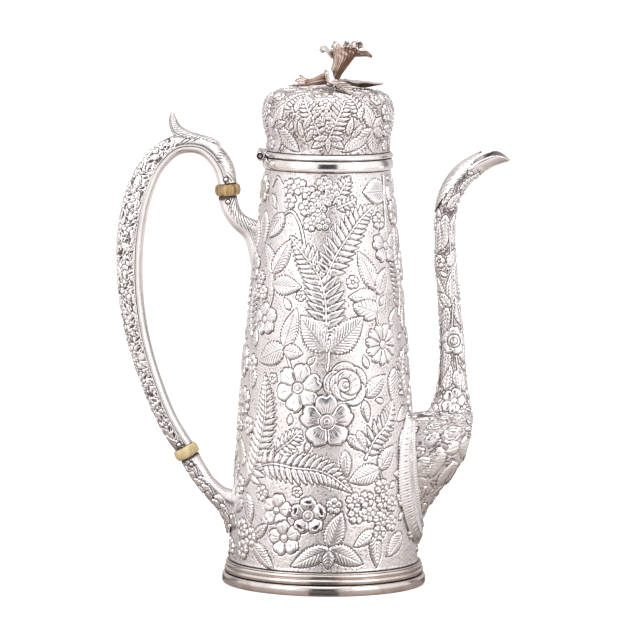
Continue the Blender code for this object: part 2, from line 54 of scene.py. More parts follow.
class Nodes:
    """Builds a node tree with short calls."""

    def __init__(self, tree):
        self.tree = tree

    def add(self, kind, **settings):
        node = self.tree.nodes.new(kind)
        for key, value in settings.items():
            setattr(node, key, value)
        return node

    def put(self, socket, value):
        """Links a socket to another one or gives it a value."""
        if isinstance(value, bpy.types.NodeSocket):
            self.tree.links.new(value, socket)
        elif isinstance(value, tuple) and len(value) == 3 and socket.type == "RGBA":
            socket.default_value = (*value, 1.0)
        else:
            socket.default_value = value

    def feed(self, node, **values):
        """Fills inputs by name: base_color stands for "Base Color"."""
        for name, value in values.items():
            self.put(node.inputs[name.replace("_", " ").title()], value)
        return node

    def math(self, operation, *values):
        node = self.add("ShaderNodeMath", operation=operation)
        for socket, value in zip(node.inputs, values):
            self.put(socket, value)
        return node.outputs[0]

    def times(self, first, second):
        return self.math("MULTIPLY", first, second)

    def plus(self, first, second):
        return self.math("ADD", first, second)

    def swing(self, value, reach):
        """Turns noise about a half into reach about zero."""
        return self.times(self.math("SUBTRACT", value, 0.5), reach)

    def attribute(self, name):
        return self.add("ShaderNodeAttribute", attribute_name=name).outputs["Fac"]

    def place(self, name="Object"):
        return self.add("ShaderNodeTexCoord").outputs[name]

    def camera_ray(self):
        return self.add("ShaderNodeLightPath").outputs["Is Camera Ray"]

    def ramp(self, value, low, high, to_low=0.0, to_high=1.0):
        """A smooth step from to_low at low to to_high at high."""
        node = self.add("ShaderNodeMapRange", interpolation_type="SMOOTHSTEP")
        self.feed(node, value=value, from_min=low, from_max=high, to_min=to_low, to_max=to_high)
        return node.outputs[0]

    def mix(self, share, first, second):
        node = self.add("ShaderNodeMix", data_type="RGBA")
        for slot, value in ((0, share), (6, first), (7, second)):
            self.put(node.inputs[slot], value)
        return node.outputs[2]

    def noise(self, place, scale, detail=3.0, distortion=0.0):
        node = self.add("ShaderNodeTexNoise")
        return self.feed(node, vector=place, scale=scale, detail=detail, distortion=distortion).outputs["Fac"]

    def stretched(self, place, scale, turn=(0.0, 0.0, 0.0)):
        node = self.add("ShaderNodeMapping")
        return self.feed(node, vector=place, rotation=turn, scale=scale).outputs["Vector"]

    def bump(self, height, distance, strength, **below):
        node = self.add("ShaderNodeBump")
        return self.feed(node, height=height, distance=distance, strength=strength, **below).outputs["Normal"]


def new_material(name):
    """A material, its nodes, its shader and the place each point has on its piece."""
    made = bpy.data.materials.new(name)
    made.use_nodes = True
    nodes = Nodes(made.node_tree)
    return made, nodes, made.node_tree.nodes["Principled BSDF"], nodes.place()


def chased_silver(name, bright=(0.96, 0.945, 0.94), dull=(0.81, 0.75, 0.74), dark=(0.11, 0.085, 0.08),
                  rough=0.26, oxide=0.9, frosted=0.45):
    """Bright raised silver whose recesses keep their grey-brown oxide; the same dark colour also carries the
    painted shade that some pieces put in their hollow values.
    """
    made, nodes, shader, place = new_material(name)
    cloud = nodes.noise(place, 90.0, 4.0, 0.6)
    speck = nodes.noise(place, 900.0, 2.0)
    patchy = nodes.ramp(nodes.noise(place, 170.0, 2.0), 0.36, 0.62, 0.55, 1.2)
    oxide_and_shade = nodes.plus(nodes.times(nodes.attribute("hollow"), patchy), nodes.swing(cloud, 0.35))
    deep = nodes.times(nodes.ramp(oxide_and_shade, 0.2, 0.62), oxide)
    color = nodes.mix(deep, nodes.mix(nodes.ramp(oxide_and_shade, -0.2, 0.35), bright, dull), dark)
    base = nodes.ramp(oxide_and_shade, -0.4, 0.0, rough - 0.07, rough)
    base = nodes.plus(base, nodes.ramp(oxide_and_shade, 0.02, 0.25, 0.0, 0.24))
    grain = nodes.bump(nodes.noise(place, 1500.0, 2.0), 0.00006, 0.6)
    nodes.feed(shader, base_color=color, metallic=nodes.ramp(oxide_and_shade, 0.0, 0.22, 1.0, frosted),
               roughness=nodes.plus(base, nodes.swing(speck, 0.16)),
               normal=nodes.bump(nodes.noise(place, 420.0, 3.0), 0.0002, 0.35, normal=grain))
    return made


def polished_silver(name, color=(0.93, 0.905, 0.89), stain=(0.74, 0.66, 0.62), rough=0.09):
    """Plain silver with a hand-polished surface: faint clouds, fine scratches round it."""
    made, nodes, shader, place = new_material(name)
    cloud = nodes.noise(place, 70.0, 5.0, 0.8)
    clean = nodes.mix(nodes.ramp(cloud, 0.45, 0.8), color, stain)
    # Painted shade: a point's hollow value darkens it towards near black, in grooves, gaps and recesses.
    groove = nodes.ramp(nodes.attribute("hollow"), 0.0, 1.0)
    scratch = nodes.noise(nodes.stretched(place, (40.0, 40.0, 1600.0)), 1.0, 4.0)
    smear = nodes.ramp(cloud, 0.35, 0.75, rough, rough + 0.09)
    ripple = nodes.bump(nodes.noise(place, 60.0, 2.0), 0.0005, 0.25)
    nodes.feed(shader, base_color=nodes.mix(groove, clean, (0.06, 0.045, 0.04)), metallic=1.0,
               roughness=nodes.plus(smear, nodes.times(scratch, 0.05)),
               normal=nodes.bump(scratch, 0.00004, 0.5, normal=ripple))
    return made


def old_bone(name, pale, deep, lean):
    """Yellowed bone with its grain along the collar's axis."""
    made, nodes, shader, place = new_material(name)
    grain = nodes.noise(nodes.stretched(place, (520.0, 520.0, 40.0), (0.0, -lean, 0.0)), 1.0, 4.0, 0.3)
    share = nodes.plus(nodes.times(grain, 0.75), nodes.times(nodes.noise(place, 260.0, 3.0), 0.35))
    nodes.feed(shader, base_color=nodes.mix(nodes.ramp(share, 0.35, 0.78), pale, deep),
               roughness=nodes.ramp(grain, 0.2, 0.8, 0.34, 0.55), subsurface_weight=0.12,
               subsurface_radius=(0.0015, 0.0009, 0.0005), subsurface_scale=1.0,
               normal=nodes.bump(grain, 0.00015, 0.5))
    return made


CHASED = chased_silver("pot_chased_silver")
CHASED_LID = chased_silver("lid_chased_silver", (0.90, 0.87, 0.86), (0.72, 0.65, 0.64), rough=0.28)
CHASED_HANDLE = chased_silver("handle_chased_silver", rough=0.22, oxide=1.25)
CHASED_SPOUT = chased_silver("spout_chased_silver", rough=0.24)
FINIAL_SILVER = chased_silver("finial_silver", (0.84, 0.80, 0.78), (0.66, 0.56, 0.50), (0.15, 0.08, 0.045),
                              0.2, frosted=0.9)
# A browner copy for the finial's blossoms, whose brown throats are painted shadow.
BLOSSOM_SILVER = chased_silver("blossom_silver", (0.84, 0.79, 0.76), (0.60, 0.45, 0.38), (0.17, 0.085, 0.05),
                               0.24, frosted=1.0)
PLAIN = polished_silver("band_polished_silver")
# Darker copies of the band silver for the foot and its moulding: painted shade, low down by the floor.
FOOT_PLAIN = polished_silver("foot_polished_silver", (0.80, 0.74, 0.71), (0.60, 0.50, 0.46), 0.1)
MOULDING_PLAIN = polished_silver("moulding_polished_silver", (0.80, 0.73, 0.70), (0.62, 0.51, 0.46), 0.19)
STRIP_PLAIN = polished_silver("strip_polished_silver", (0.95, 0.935, 0.92), (0.86, 0.81, 0.78), 0.12)
HINGE_PLAIN = polished_silver("hinge_polished_silver", (0.90, 0.86, 0.83), (0.60, 0.50, 0.44), 0.14)
INSIDE = chased_silver("inside_silver", (0.78, 0.74, 0.70), (0.62, 0.56, 0.51), (0.2, 0.16, 0.13), 0.42)


# ---------------------------------------------------------------- meshes


def bump(value, width):
    return np.exp(-((value / width) ** 2))


def ease(value, low, high):
    t = np.clip((value - low) / (high - low), 0.0, 1.0)
    return t * t * (3 - 2 * t)


def run_along(points):
    """Distance along a path to each of its points."""
    return np.concatenate([[0.0], np.cumsum(np.linalg.norm(np.diff(points, axis=0), axis=1))])


def full_turn(count):
    """Angles once round, starting opposite zero."""
    return np.radians(np.linspace(-180, 180, count, endpoint=False))


def smooth_path(points, count):
    """`count` rows evenly spaced along a smooth curve through the points."""
    p = np.array(points, float)
    s = run_along(p)
    slope = np.diff(p, axis=0) / np.diff(s)[:, None]
    before, after = np.diff(s)[:-1, None], np.diff(s)[1:, None]
    inner = (slope[:-1] * after + slope[1:] * before) / (before + after)
    tangent = np.vstack([1.5 * slope[0] - 0.5 * inner[:1], inner, 1.5 * slope[-1] - 0.5 * inner[-1:]])
    at = np.linspace(0.0, s[-1], count)
    i = np.clip(np.searchsorted(s, at, side="right") - 1, 0, len(s) - 2)
    h = (s[i + 1] - s[i])[:, None]
    u = (at - s[i])[:, None] / h
    return ((2 * u**3 - 3 * u**2 + 1) * p[i] + (u**3 - 2 * u**2 + u) * h * tangent[i]
            + (3 * u**2 - 2 * u**3) * p[i + 1] + (u**3 - u**2) * h * tangent[i + 1])


def linked(name, data):
    """A new object in the scene."""
    made = bpy.data.objects.new(name, data)
    bpy.context.scene.collection.objects.link(made)
    return made


def grid_piece(name, node, paint, points, body="pot", closed_rows=False, keep=None, hollow=None, sharp=None):
    """A piece of quads over a grid of points (rows, columns, xyz), with a bake map that follows the grid."""
    rows, cols = points.shape[:2]
    r = np.arange(rows if closed_rows else rows - 1)[:, None]
    c = np.arange(cols)[None, :]
    corners = [(r, c), (r, c + 1), (r + 1, c + 1), (r + 1, c)]
    quads = np.stack([(a % rows) * cols + b % cols for a, b in corners], -1).reshape(-1, 4)
    maps = np.stack([np.stack(np.broadcast_arrays((b + 0.5) / (cols + 1), (a + 0.5) / (rows + 1)), -1)
                     for a, b in corners], 2).reshape(-1, 4, 2)
    if keep is not None:
        shown = keep.reshape(-1)[quads].all(1)
        quads, maps = quads[shown], maps[shown]
    used, quads = np.unique(quads, return_inverse=True)
    quads = quads.reshape(-1, 4)
    mesh = bpy.data.meshes.new(name)
    mesh.vertices.add(len(used))
    mesh.vertices.foreach_set("co", (points.reshape(-1, 3)[used] * MM).astype(np.float32).ravel())
    mesh.loops.add(quads.size)
    mesh.loops.foreach_set("vertex_index", quads.astype(np.int32).ravel())
    mesh.polygons.add(len(quads))
    mesh.polygons.foreach_set("loop_start", np.arange(0, quads.size, 4, dtype=np.int32))
    mesh.update(calc_edges=True)
    mesh.uv_layers.new(name="OFBake").data.foreach_set("uv", maps.astype(np.float32).ravel())
    if hollow is not None:
        layer = mesh.attributes.new("hollow", "FLOAT", "POINT")
        layer.data.foreach_set("value", hollow.reshape(-1)[used].astype(np.float32))
    mesh.validate()
    mesh.shade_smooth()
    if sharp:
        mesh.set_sharp_from_angle(angle=math.radians(sharp))
    piece = linked(name, mesh)
    mesh.materials.append(paint)
    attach(piece, body)
    if node:
        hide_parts(node)


def grid_normals(points, closed_cols=True):
    """Unit normals of a grid of points, outwards where columns turn right and rows climb."""
    if closed_cols:
        across = np.roll(points, -1, 1) - np.roll(points, 1, 1)
    else:
        across = np.gradient(points, axis=1)
    normal = np.cross(across, np.gradient(points, axis=0))
    return normal / np.maximum(np.linalg.norm(normal, axis=2, keepdims=True), 1e-9)


def round_points(radius, z, angles):
    """Points at (radius, z), both per row or per point, round the pot's axis."""
    z = np.broadcast_to(z, np.broadcast_shapes(np.shape(radius), np.shape(z), angles.shape))
    radius = np.broadcast_to(radius, z.shape)
    return np.stack([radius * np.sin(angles), -radius * np.cos(angles), z], -1)


def outline_columns(outline):
    """Radius, height and painted shade of an outline's points; a point that names no shade has none."""
    rows = np.array([(*point, 0.0)[:3] for point in outline], float)
    return rows[:, :1], rows[:, 1:2], rows[:, 2:]


def aimed(points, axis, base):
    """Points turned until +Z is along `axis` and moved to `base`."""
    turn = np.array(Vector((0, 0, 1)).rotation_difference(Vector(axis)).to_matrix())
    return points @ turn.T + np.array(base)


def raised(base, height, closed_cols=True):
    """The grid `base` lifted along its normals."""
    return base + grid_normals(base, closed_cols) * height[..., None]


def turned(name, node, paint, outline, body="pot", segments=192, base=(0, 0, 0), axis=(0, 0, 1), closed=True):
    """Spins an outline of (radius, height, painted shade if any) points about `axis` through `base`."""
    radius, height, hollow = outline_columns(outline)
    angle = np.linspace(0, 2 * math.pi, segments, endpoint=False)
    points = aimed(round_points(radius, height, angle), axis, base)
    grid_piece(name, node, paint, points, body, closed, hollow=hollow + 0 * angle, sharp=35)


# ---------------------------------------------------------------- chasing


class Relief:
    """Heights, in mm, raised on a sheet whose rows run along it and whose columns run round it."""

    def __init__(self, along, spread, angles, closed=True, ground=-0.5):
        self.along, self.spread, self.angles, self.closed = along, spread, angles, closed
        self.height = np.full((len(along), len(angles)), ground)
        self.height += 0.035 * self.soft_noise(0.9) + 0.03 * self.soft_noise(4.0)
        self.cover = np.zeros(self.height.shape, bool)

    def soft_noise(self, cells):
        field = self.blurred(random.standard_normal((len(self.along), len(self.angles))), cells)
        return field / field.std() * 0.7

    def blurred(self, field, cells):
        reach = int(math.ceil(2.2 * cells))
        weights = np.exp(-0.5 * (np.arange(-reach, reach + 1) / cells) ** 2)
        weights /= weights.sum()
        for axis in (0, 1):
            pad = [(0, 0), (0, 0)]
            pad[axis] = (reach, reach)
            wide = np.pad(field, pad, mode="wrap" if axis and self.closed else "edge")
            size = field.shape[axis]
            field = sum(w * np.take(wide, np.arange(k, k + size), axis) for k, w in enumerate(weights))
        return field

    def scale(self, at):
        """Distance round the sheet per radian."""
        return np.interp(at, self.along, self.spread)

    def off(self, angle):
        return (self.angles - math.radians(angle) + math.pi) % (2 * math.pi) - math.pi

    def window(self, angle, at, reach):
        """The cells within reach of a place, and where they lie from it."""
        rows = np.flatnonzero(np.abs(self.along - at) < reach)
        off = self.off(angle)
        cols = np.flatnonzero(np.abs(off) * self.scale(at) < reach)
        x = off[cols][None, :] * self.spread[rows][:, None]
        y = (self.along[rows] - at)[:, None] + 0 * x
        return np.ix_(rows, cols), x, y

    def press(self, place, d, h, lift, line):
        """Raises what lies inside d < 0 and chases a line round it."""
        old = self.height[place]
        inside = np.clip(0.5 - d / 0.35, 0.0, 1.0)
        outside = old - 0.85 * line * bump(d - 0.24, 0.3)
        rim = np.exp(np.minimum(d, 0) / 0.32)
        self.height[place] = outside * (1 - inside) + inside * ((lift + h) * (1 - rim) - 0.2 * rim)
        self.cover[place] |= d < 0.35

    def lay(self, angle, at, turn, reach, shape, lift=0.2, line=0.4):
        """Presses a shape in at a place, turned by degrees."""
        place, x, y = self.window(angle, at, reach)
        if not x.size:
            return
        c, s = math.cos(math.radians(turn)), math.sin(math.radians(turn))
        d, h = shape(x * c + y * s, y * c - x * s)
        self.press(place, d, h, lift, line)

    def stem(self, points, width=0.9, lift=0.15):
        path = smooth_path(points, 28)
        angle, at = path.mean(0)
        px, py = np.radians(path[:, 0] - angle) * self.scale(path[:, 1]), path[:, 1] - at
        place, x, y = self.window(angle, at, max(np.abs(px).max(), np.abs(py).max()) + 2.0)
        if not x.size:
            return
        d = np.full(x.shape, 99.0)
        for ax, ay, bx, by in zip(px, py, px[1:], py[1:]):
            dx, dy = bx - ax, by - ay
            t = np.clip(((x - ax) * dx + (y - ay) * dy) / max(dx * dx + dy * dy, 1e-9), 0, 1)
            d = np.minimum(d, np.hypot(x - ax - t * dx, y - ay - t * dy))
        self.press(place, d - width / 2, 0.15 * bump(d, width * 0.35), lift, 0.35)

    def frond(self, points, length, gap):
        """A fern: paired leaflets along a curved stem, longest below the middle."""
        rows = smooth_path([(math.radians(a) * self.scale(z), z) for a, z in points], 60)
        run = run_along(rows)

        def spot(t):
            return np.array([np.interp(t * run[-1], run, rows[:, k]) for k in (0, 1)])

        places, t = [], 0.12
        while t < 0.985:
            places.append(t)
            t += gap * (1.12 - 0.42 * t) / run[-1]
        for t in places[::-1]:
            x, z = spot(t)
            way = math.degrees(math.atan2(*(spot(min(t + 0.03, 1.0)) - spot(max(t - 0.03, 0.0)))[::-1]))
            size = length * (0.35 + 0.65 * math.sin(math.pi * min(1.0, 0.18 + 0.86 * t)) ** 0.8)
            size *= 1 - 0.45 * ease(t, 0.7, 1.0)
            for side in (1, -1):
                shape = leaf(size, gap * 1.05 * (1.05 - 0.25 * t), 5, 0, -0.22 * side, 0.6, rib=0.06)
                turn = way + side * 88.0 * (1 - 0.42 * t)
                self.lay(math.degrees(x / self.scale(z)), z, turn, size + 1.5, shape, 0.05 + 0.1 * t, 0.5)
        self.stem(points, 0.95, 0.3)

    def rose(self, angle, at, radius, spin=0.0):
        """A full-blown rose: a ring of outer petals, then smaller ones rolled over its heart."""
        def put(out, way, size, shape, lift):
            way = math.radians(spin + way)
            spot = angle + math.degrees(out * radius * math.cos(way) / self.scale(at))
            height = at + out * radius * math.sin(way)
            self.lay(spot, height, math.degrees(way), size * radius * 1.3, shape, lift, 0.42)

        for i in range(5):
            put(0.55, 72 * i + 8, 0.5, petal(0.5 * radius), 0.12)
        for way, size in ((150, 0.44), (215, 0.42), (275, 0.36), (80, 0.4)):
            put(0.32, way, size, petal(size * radius, 9), 0.3)
        put(0.2, 15, 0.52, petal(0.5 * radius, 3), 0.42)
        put(0.1, 160, 0.3, petal(0.26 * radius, 7), 0.55)
        put(0.02, 100, 0.18, petal(0.13 * radius, 0), 0.62)

    def feather(self, angle, low, high, reach=99.0):
        """Fine lines engraved in chevrons on both sides of one line along the sheet."""
        pitch, slope = 2.2, 2.2
        around = np.abs(self.off(angle))[None, :] * self.spread[:, None]
        phase = (self.along[:, None] - slope * around + 0.05 * around**2) / pitch
        away = np.abs(phase - np.round(phase)) * pitch / math.hypot(1, slope)
        mask = (ease(self.along, low, low + 1) * (1 - ease(self.along, high - 1, high)))[:, None] * (
            1 - ease(around, reach - 0.5, reach))
        cut = ease(self.soft_noise(9.0), -0.7, 0.5)
        lines = 0.3 - 0.3 * cut * bump(away, 0.22) - 0.2 * bump(around, 0.25)
        lines -= 0.3 * bump(around - reach, 0.4)
        self.height = self.height * (1 - mask) + mask * lines
        self.cover |= mask > 0.5

    def free(self, angle, at, reach):
        """True if nothing is raised yet within reach of the place."""
        ways = np.radians(np.arange(0, 360, 24))
        x, y = (np.outer((0.0, 0.5, 1.0), reach * side).ravel() for side in (np.cos(ways), np.sin(ways)))
        if at + y.max() > self.along[-1] or at + y.min() < self.along[0]:
            return False
        rows = np.searchsorted(self.along, at + y).clip(0, len(self.along) - 1)
        turn = (math.radians(angle) + x / self.scale(at) - self.angles[0]) / (self.angles[1] - self.angles[0])
        cols = np.round(turn).astype(int)
        if self.closed:
            cols %= len(self.angles)
        elif cols.min() < 0 or cols.max() >= len(self.angles):
            return False
        return not self.cover[rows, cols].any()

    def fill(self, sizes, tries):
        """Fills what is left with leaves and small blossoms, the large ones first."""
        for size in sizes:
            for _ in range(tries):
                angle = random.uniform(-180.0, 180.0)
                at = random.uniform(self.along[0], self.along[-1])
                turn = random.uniform(0, 360)
                kind = random.random()
                if not self.free(angle, at, size):
                    continue
                if kind < 0.45 and size > 2.4:
                    shape = blossom(size, 5, 0.55, 0.26, 0.3, 90.0, 0 if size < 3 else 2.6, 0.08, 0.2)
                    self.lay(angle, at, turn, size * 1.1, shape, 0.2, 0.45)
                else:
                    back, way = size * 0.95, math.radians(turn)
                    spot = angle - math.degrees(back * math.cos(way) / self.scale(at))
                    veins, bend = max(3, round(1.2 * size)), random.uniform(-0.1, 0.1)
                    shape = leaf(1.95 * size, 1.05 * size, 6, veins, bend)
                    self.lay(spot, at - back * math.sin(way), turn, 2.2 * size, shape, 0.1, 0.45)

    def hollow(self, bare=0.16, sharp=0.085):
        """How far each point lies below what surrounds it, from -1 on a crest to 1 in a recess."""
        fine = (self.blurred(self.height, 1.3) - self.height) / sharp
        wide = (self.blurred(self.height, 5.0) - self.height) / 0.8
        open_ground = self.blurred(1.0 - self.cover, 0.8)
        return np.clip(0.7 * np.clip(fine, -1, 1) + 0.5 * np.clip(wide, -1, 1) + bare * open_ground, -1, 1)


def blossom(radius, petals=5, waist=0.62, boss=0.2, cup=0.25, spin=90.0, lines=2.6, notch=0.06, dish=0.0):
    """A flower: petals that nearly touch, fine lines out of its heart and a ringed boss."""
    number = petals * max(1, round(lines * radius / petals))

    def shape(x, y):
        far = np.hypot(x, y)
        way = np.arctan2(y, x) - math.radians(spin)
        lobe = np.abs(np.cos(petals * way / 2))
        share = far / radius
        edge = radius * (waist + (1 - waist) * lobe**0.42) * (1 - notch * bump(1 - lobe, 0.02))
        edge *= 1 + 0.025 * np.cos(11 * way + 1.3)
        gap = far * 2 / petals * np.arcsin(np.clip(lobe, 0, 1))
        off = far * math.pi / petals - gap
        h = 0.24 * (1 - np.exp(-gap / (0.1 * radius))) + cup * share**2
        h -= 0.5 * bump(gap, 0.27) * ease(share, boss, 0.36)
        if lines:
            ray = far * 2 / number * np.arcsin(np.abs(np.sin(number * way / 2)))
            reach = 0.66 + 0.14 * np.cos(number / petals * 2.4 * way)
            kept = ease(share, boss, boss + 0.05) * (1 - ease(share, reach - 0.15, reach))
            h -= 0.2 * bump(ray, 0.2) * kept
        h -= dish * bump(np.hypot(far - 0.66 * radius, off), 0.2 * radius)
        core = boss * radius
        dome = 0.34 * np.sqrt(np.clip(1 - (far / core) ** 2, 0, 1))
        dome -= 0.3 * bump(far - 0.52 * core, 0.1 * core + 0.12)
        h = np.where(far < core, dome, h) - 0.55 * bump(far - core, 0.3)
        return (far - edge) * 0.9, h
    return shape


def leaf(length, width, teeth=9, veins=8, bend=0.0, blunt=0.78, heart=0.0, rib=0.34, lean=1.45):
    """A leaf whose stalk is at the origin and whose tip lies along +x, with fine veins swept forward."""
    def shape(x, y):
        t = np.clip(x / length, 0.0, 1.0)
        y = y - bend * length * t * t
        side = np.abs(y)
        half = width / 2 * np.sin(math.pi * np.clip(t, 0.0, 1.0) ** blunt) ** (0.8 if teeth else 0.6)
        if heart:
            half = np.maximum(half, heart * width / 2 * np.sqrt(np.clip(1 - ((t - 0.2) / 0.28) ** 2, 0, 1)))
        if teeth:
            tooth = (t * teeth - 1.1 * side / width) % 1.0
            half = half * (1.05 - 0.17 * tooth)
        d = np.maximum(side - half, np.maximum(-x, x - length))
        share = np.clip(side / (half + 0.3), 0, 1)
        h = 0.26 * (1 - share**2) + 0.12 * np.sign(y) * share - rib * bump(side, 0.26)
        if veins:
            phase = ((x - lean * side + 0.5 * side * share) * veins / length) % 1.0
            away = np.minimum(phase, 1 - phase) * length / veins / math.hypot(1, lean)
            h -= 0.3 * bump(away, 0.2) * ease(share, 0.04, 0.16)
        if teeth:
            h -= 0.24 * bump(share - 0.88, 0.09) * bump(tooth - 0.86, 0.17)
        return d, h
    return shape


def petal(radius, ribs=5):
    """A rolled rose petal: a hollow disc with a raised rim on its outer side and a few engraved lines."""
    def shape(x, y):
        far = np.hypot(x, y * 0.86)
        share = (far / radius).clip(0, 1)
        h = 0.36 * share**4 + 0.16 * x / radius
        if ribs:
            fan = np.arctan2(y, x + 1.4 * radius) * 2.4 * radius
            phase = fan * ribs / (2.2 * radius) % 1.0
            away = np.minimum(phase, 1 - phase) * 2.2 * radius / ribs
            h = h - 0.2 * bump(away, 0.2) * ease(share, 0.0, 0.2) * (1 - ease(share, 0.62, 0.85))
        return far - radius, h
    return shape


def sprig(relief, kind, angle, at, *size):
    """Lays one ornament of the design."""
    if kind in ("leaf", "heart", "bud"):
        turn, length, width, *bend = size
        teeth, veins = max(5, round(length / 1.5)), max(4, round(length / 1.75))
        shape, lift, line = {
            "leaf": (leaf(length, width, teeth, veins, *bend), 0.22, 0.5),
            "heart": (leaf(length, width, 9, 9, 0.0, 0.7, 0.9), 0.25, 0.4),
            "bud": (leaf(length, width, 0, 5, 0.1, 0.7), 0.3, 0.4)}[kind]
        relief.lay(angle, at, turn, length + 2.0, shape, lift, line)
    elif kind == "blossom":
        radius, petals, boss, spin, *dish = size
        shape = blossom(radius, petals, 0.6, boss, 0.3, spin, dish=sum(dish))
        relief.lay(angle, at, 0.0, radius * 1.2, shape, 0.36, 0.55)
    elif kind == "daisy":
        radius, petals, boss = size
        shape = blossom(radius, petals, 0.72, boss, 0.2, 7.0, 3.6, 0.1)
        relief.lay(angle, at, 0.0, radius * 1.2, shape, 0.33, 0.5)
    elif kind == "small":
        shape = blossom(size[0], 5, 0.5, 0.26, 0.3, size[1], 0, 0.08, 0.3)
        relief.lay(angle, at, 0.0, size[0] * 1.3, shape, 0.26, 0.5)
    elif kind == "rose":
        relief.rose(angle, at, *size)


def lay_design(relief, fronds=(), stems=(), sprigs=(), level=float):
    """Lays a design mirrored for the far side, then as the photo shows it on the near one."""
    for mirror in (True, False):
        def side(angle):
            return 180.0 - angle if mirror else angle
        for points, length, gap in fronds:
            relief.frond([(side(a), z) for a, z in points], length, gap)
        for points in stems:
            relief.stem([(side(a), z) for a, z in points])
        for kind, *places in sprigs:
            for angle, at, first, *size in places:
                first = side(first) if kind in ("leaf", "heart", "bud") else first
                sprig(relief, kind, side(angle), level(at), first, *size)


# ---------------------------------------------------------------- body

BODY_LOW, BODY_HIGH = 10.9, 194.9
BODY_WALL = 1.2
NECK_LOW, NECK_RADIUS = 1.5, 43.3

# A design's fronds are (points of angle and height, length, gap). Its sprigs go by kind, then for each place
# an angle, a height and what `sprig` unpacks for that kind.
BODY_FRONDS = [
    ([(2, 115), (0, 126), (-1, 137), (-5, 146), (-18, 157), (-31, 165)], 9.6, 3.3),
    ([(-2, 145), (6, 156), (16, 165), (27, 173), (45, 180)], 8.4, 3.1),
    ([(-61, 48), (-52, 56), (-47, 70), (-44, 80), (-47, 101)], 8.4, 3.1),
    ([(-50, 57), (-36, 60), (-21, 59), (0, 57), (17, 48)], 8.4, 3.1),
    ([(-33, 66), (-25, 70), (-16, 76)], 5.4, 2.3), ([(27, 63), (33, 71), (45, 79), (52, 89)], 7.4, 2.8),
    ([(5, 181), (12, 187), (19, 193)], 4.8, 2.2), ([(9, 179), (17, 181), (25, 183)], 3.6, 2),
    ([(-68, 118), (-72, 128), (-70, 140)], 6.2, 2.7),
    ([(68, 128), (72, 140), (68, 155), (71, 168)], 6.8, 2.7), ([(70, 90), (66, 100), (72, 112)], 6.2, 2.6),
]
BODY_STEMS = [
    [(2, 116), (2, 109), (1, 104)], [(60, 193), (58, 185), (57, 176), (56, 167)],
    [(-46, 149), (-45, 138), (-48, 131)], [(40, 143), (39, 132), (41, 124)],
    [(-31, 114), (-27, 108), (-24, 102)], [(-40, 175), (-32, 177), (-24, 172), (-19, 163)],
    [(-58, 188), (-53, 192), (-45, 189), (-39, 185)], [(37, 58), (40, 52), (42, 49)],
]
BODY_SPRIGS = [
    ("heart", (57, 186, 180, 13, 12)),
    ("leaf", (-40, 175.5, 232, 14.5, 8.5), (-46, 148, 116, 14, 8), (-46, 148, 60, 18.5, 8.5),
        (-45, 143, -3, 15.5, 9), (41, 141, 117, 20, 9), (42, 139, 62, 13, 8), (41, 137.5, 178, 15, 8)),
    ("bud", (40, 130, 155, 13, 10)),
    ("leaf", (-31, 114, 74, 19, 8.5), (-31, 114, 205, 17, 11), (-31, 113, -8, 9.5, 7),
        (2, 113.5, 136, 20.5, 13, -0.1), (2, 113.5, 37, 22.5, 13, 0.1), (28, 92, 38, 15, 8),
        (27, 90, -80, 10, 4.6), (56, 104, -100, 16, 8.5), (37, 58, 198, 16.5, 9.5), (37, 58, 46, 14, 8.5),
        (13, 67, -86, 12, 5.2), (15, 74, -40, 11, 5.4), (22, 76, -65, 9, 4.6), (-60, 94, 100, 14, 7),
        (3, 22.3, 70, 17.5, 9.5), (3, 22, 206, 20, 8.5), (3, 22, -25, 18, 9), (2.5, 21, -90, 8.5, 6),
        (-58, 44.5, -72, 14.5, 7.5), (-49, 22, -40, 17, 7), (-48, 25, 40, 10, 5.2), (33, 29.5, 212, 13, 6),
        (33, 29, -88, 16.5, 6.8), (56, 27, 222, 15, 8), (60, 62, 82, 13, 6.5), (-66, 176, -78, 15, 7.5),
        (66, 188, -60, 14, 7), (-78, 158, 100, 15, 7), (74, 121, 70, 13, 7)),
    ("blossom", (54, 161, 8.2, 5, 0.24, 90), (-51, 126.5, 7.6, 5, 0.23, 96)),
    ("daisy", (44, 115.5, 9.6, 11, 0.22)), ("blossom", (-19, 96, 11.4, 6, 0.24, 78)),
    ("rose", (14, 97.5, 10.2, 20)),
    ("blossom", (1, 80.8, 12.6, 5, 0.27, 20, -0.3), (-31, 38.7, 7.8, 5, 0.22, 80),
        (-25, 26, 8.2, 5, 0.24, 100), (-10, 37, 8.8, 5, 0.32, 92, -0.75)),
    ("daisy", (-62, 27.5, 4.8, 5, 0.28), (-52, 24.5, 4.6, 5, 0.28), (-60, 18, 4.8, 5, 0.28)),
    ("small", (-63, 105, 4.4, 90), (-64, 139, 3.6, 70), (-56, 138.5, 3.4, 100), (-61, 145, 3.2, 10)),
    ("blossom", (76, 176, 7, 5, 0.24, 75), (-76, 186, 6.4, 5, 0.24, 85), (-80, 105, 7.6, 5, 0.24, 60),
        (86, 150, 7.2, 5, 0.24, 30)),
    ("small", (-36, 188, 3.9, 80), (-26, 188.5, 3.9, 40), (-35, 181.6, 3.7, 20), (-3, 190, 3.9, 90),
        (-16, 185.5, 3.6, 60), (-9, 183.6, 3.5, 10), (-1, 183, 3.5, 85), (4, 186.6, 3.6, 45),
        (-18, 179, 3.9, 30), (-8, 177.6, 4.3, 95), (-14, 171.8, 3.7, 70), (-4, 172.4, 3.9, 15),
        (19, 43.4, 4.2, 85), (27, 44.2, 4, 40), (20, 37, 4.1, 15), (28, 37.4, 3.8, 75), (39, 49.4, 4, 60),
        (39, 43, 3.9, 90), (37, 34.4, 4, 25), (46, 32.4, 4, 80), (36, 28.4, 3.7, 50), (47, 41, 3.7, 5)),
]


def body_radius(z):
    """Outer radius of the raised body, wider and rounder towards the foot."""
    t = (193.0 - z) / 180.4
    return 30.0 + 21.4 * t - 6.8 * t * t


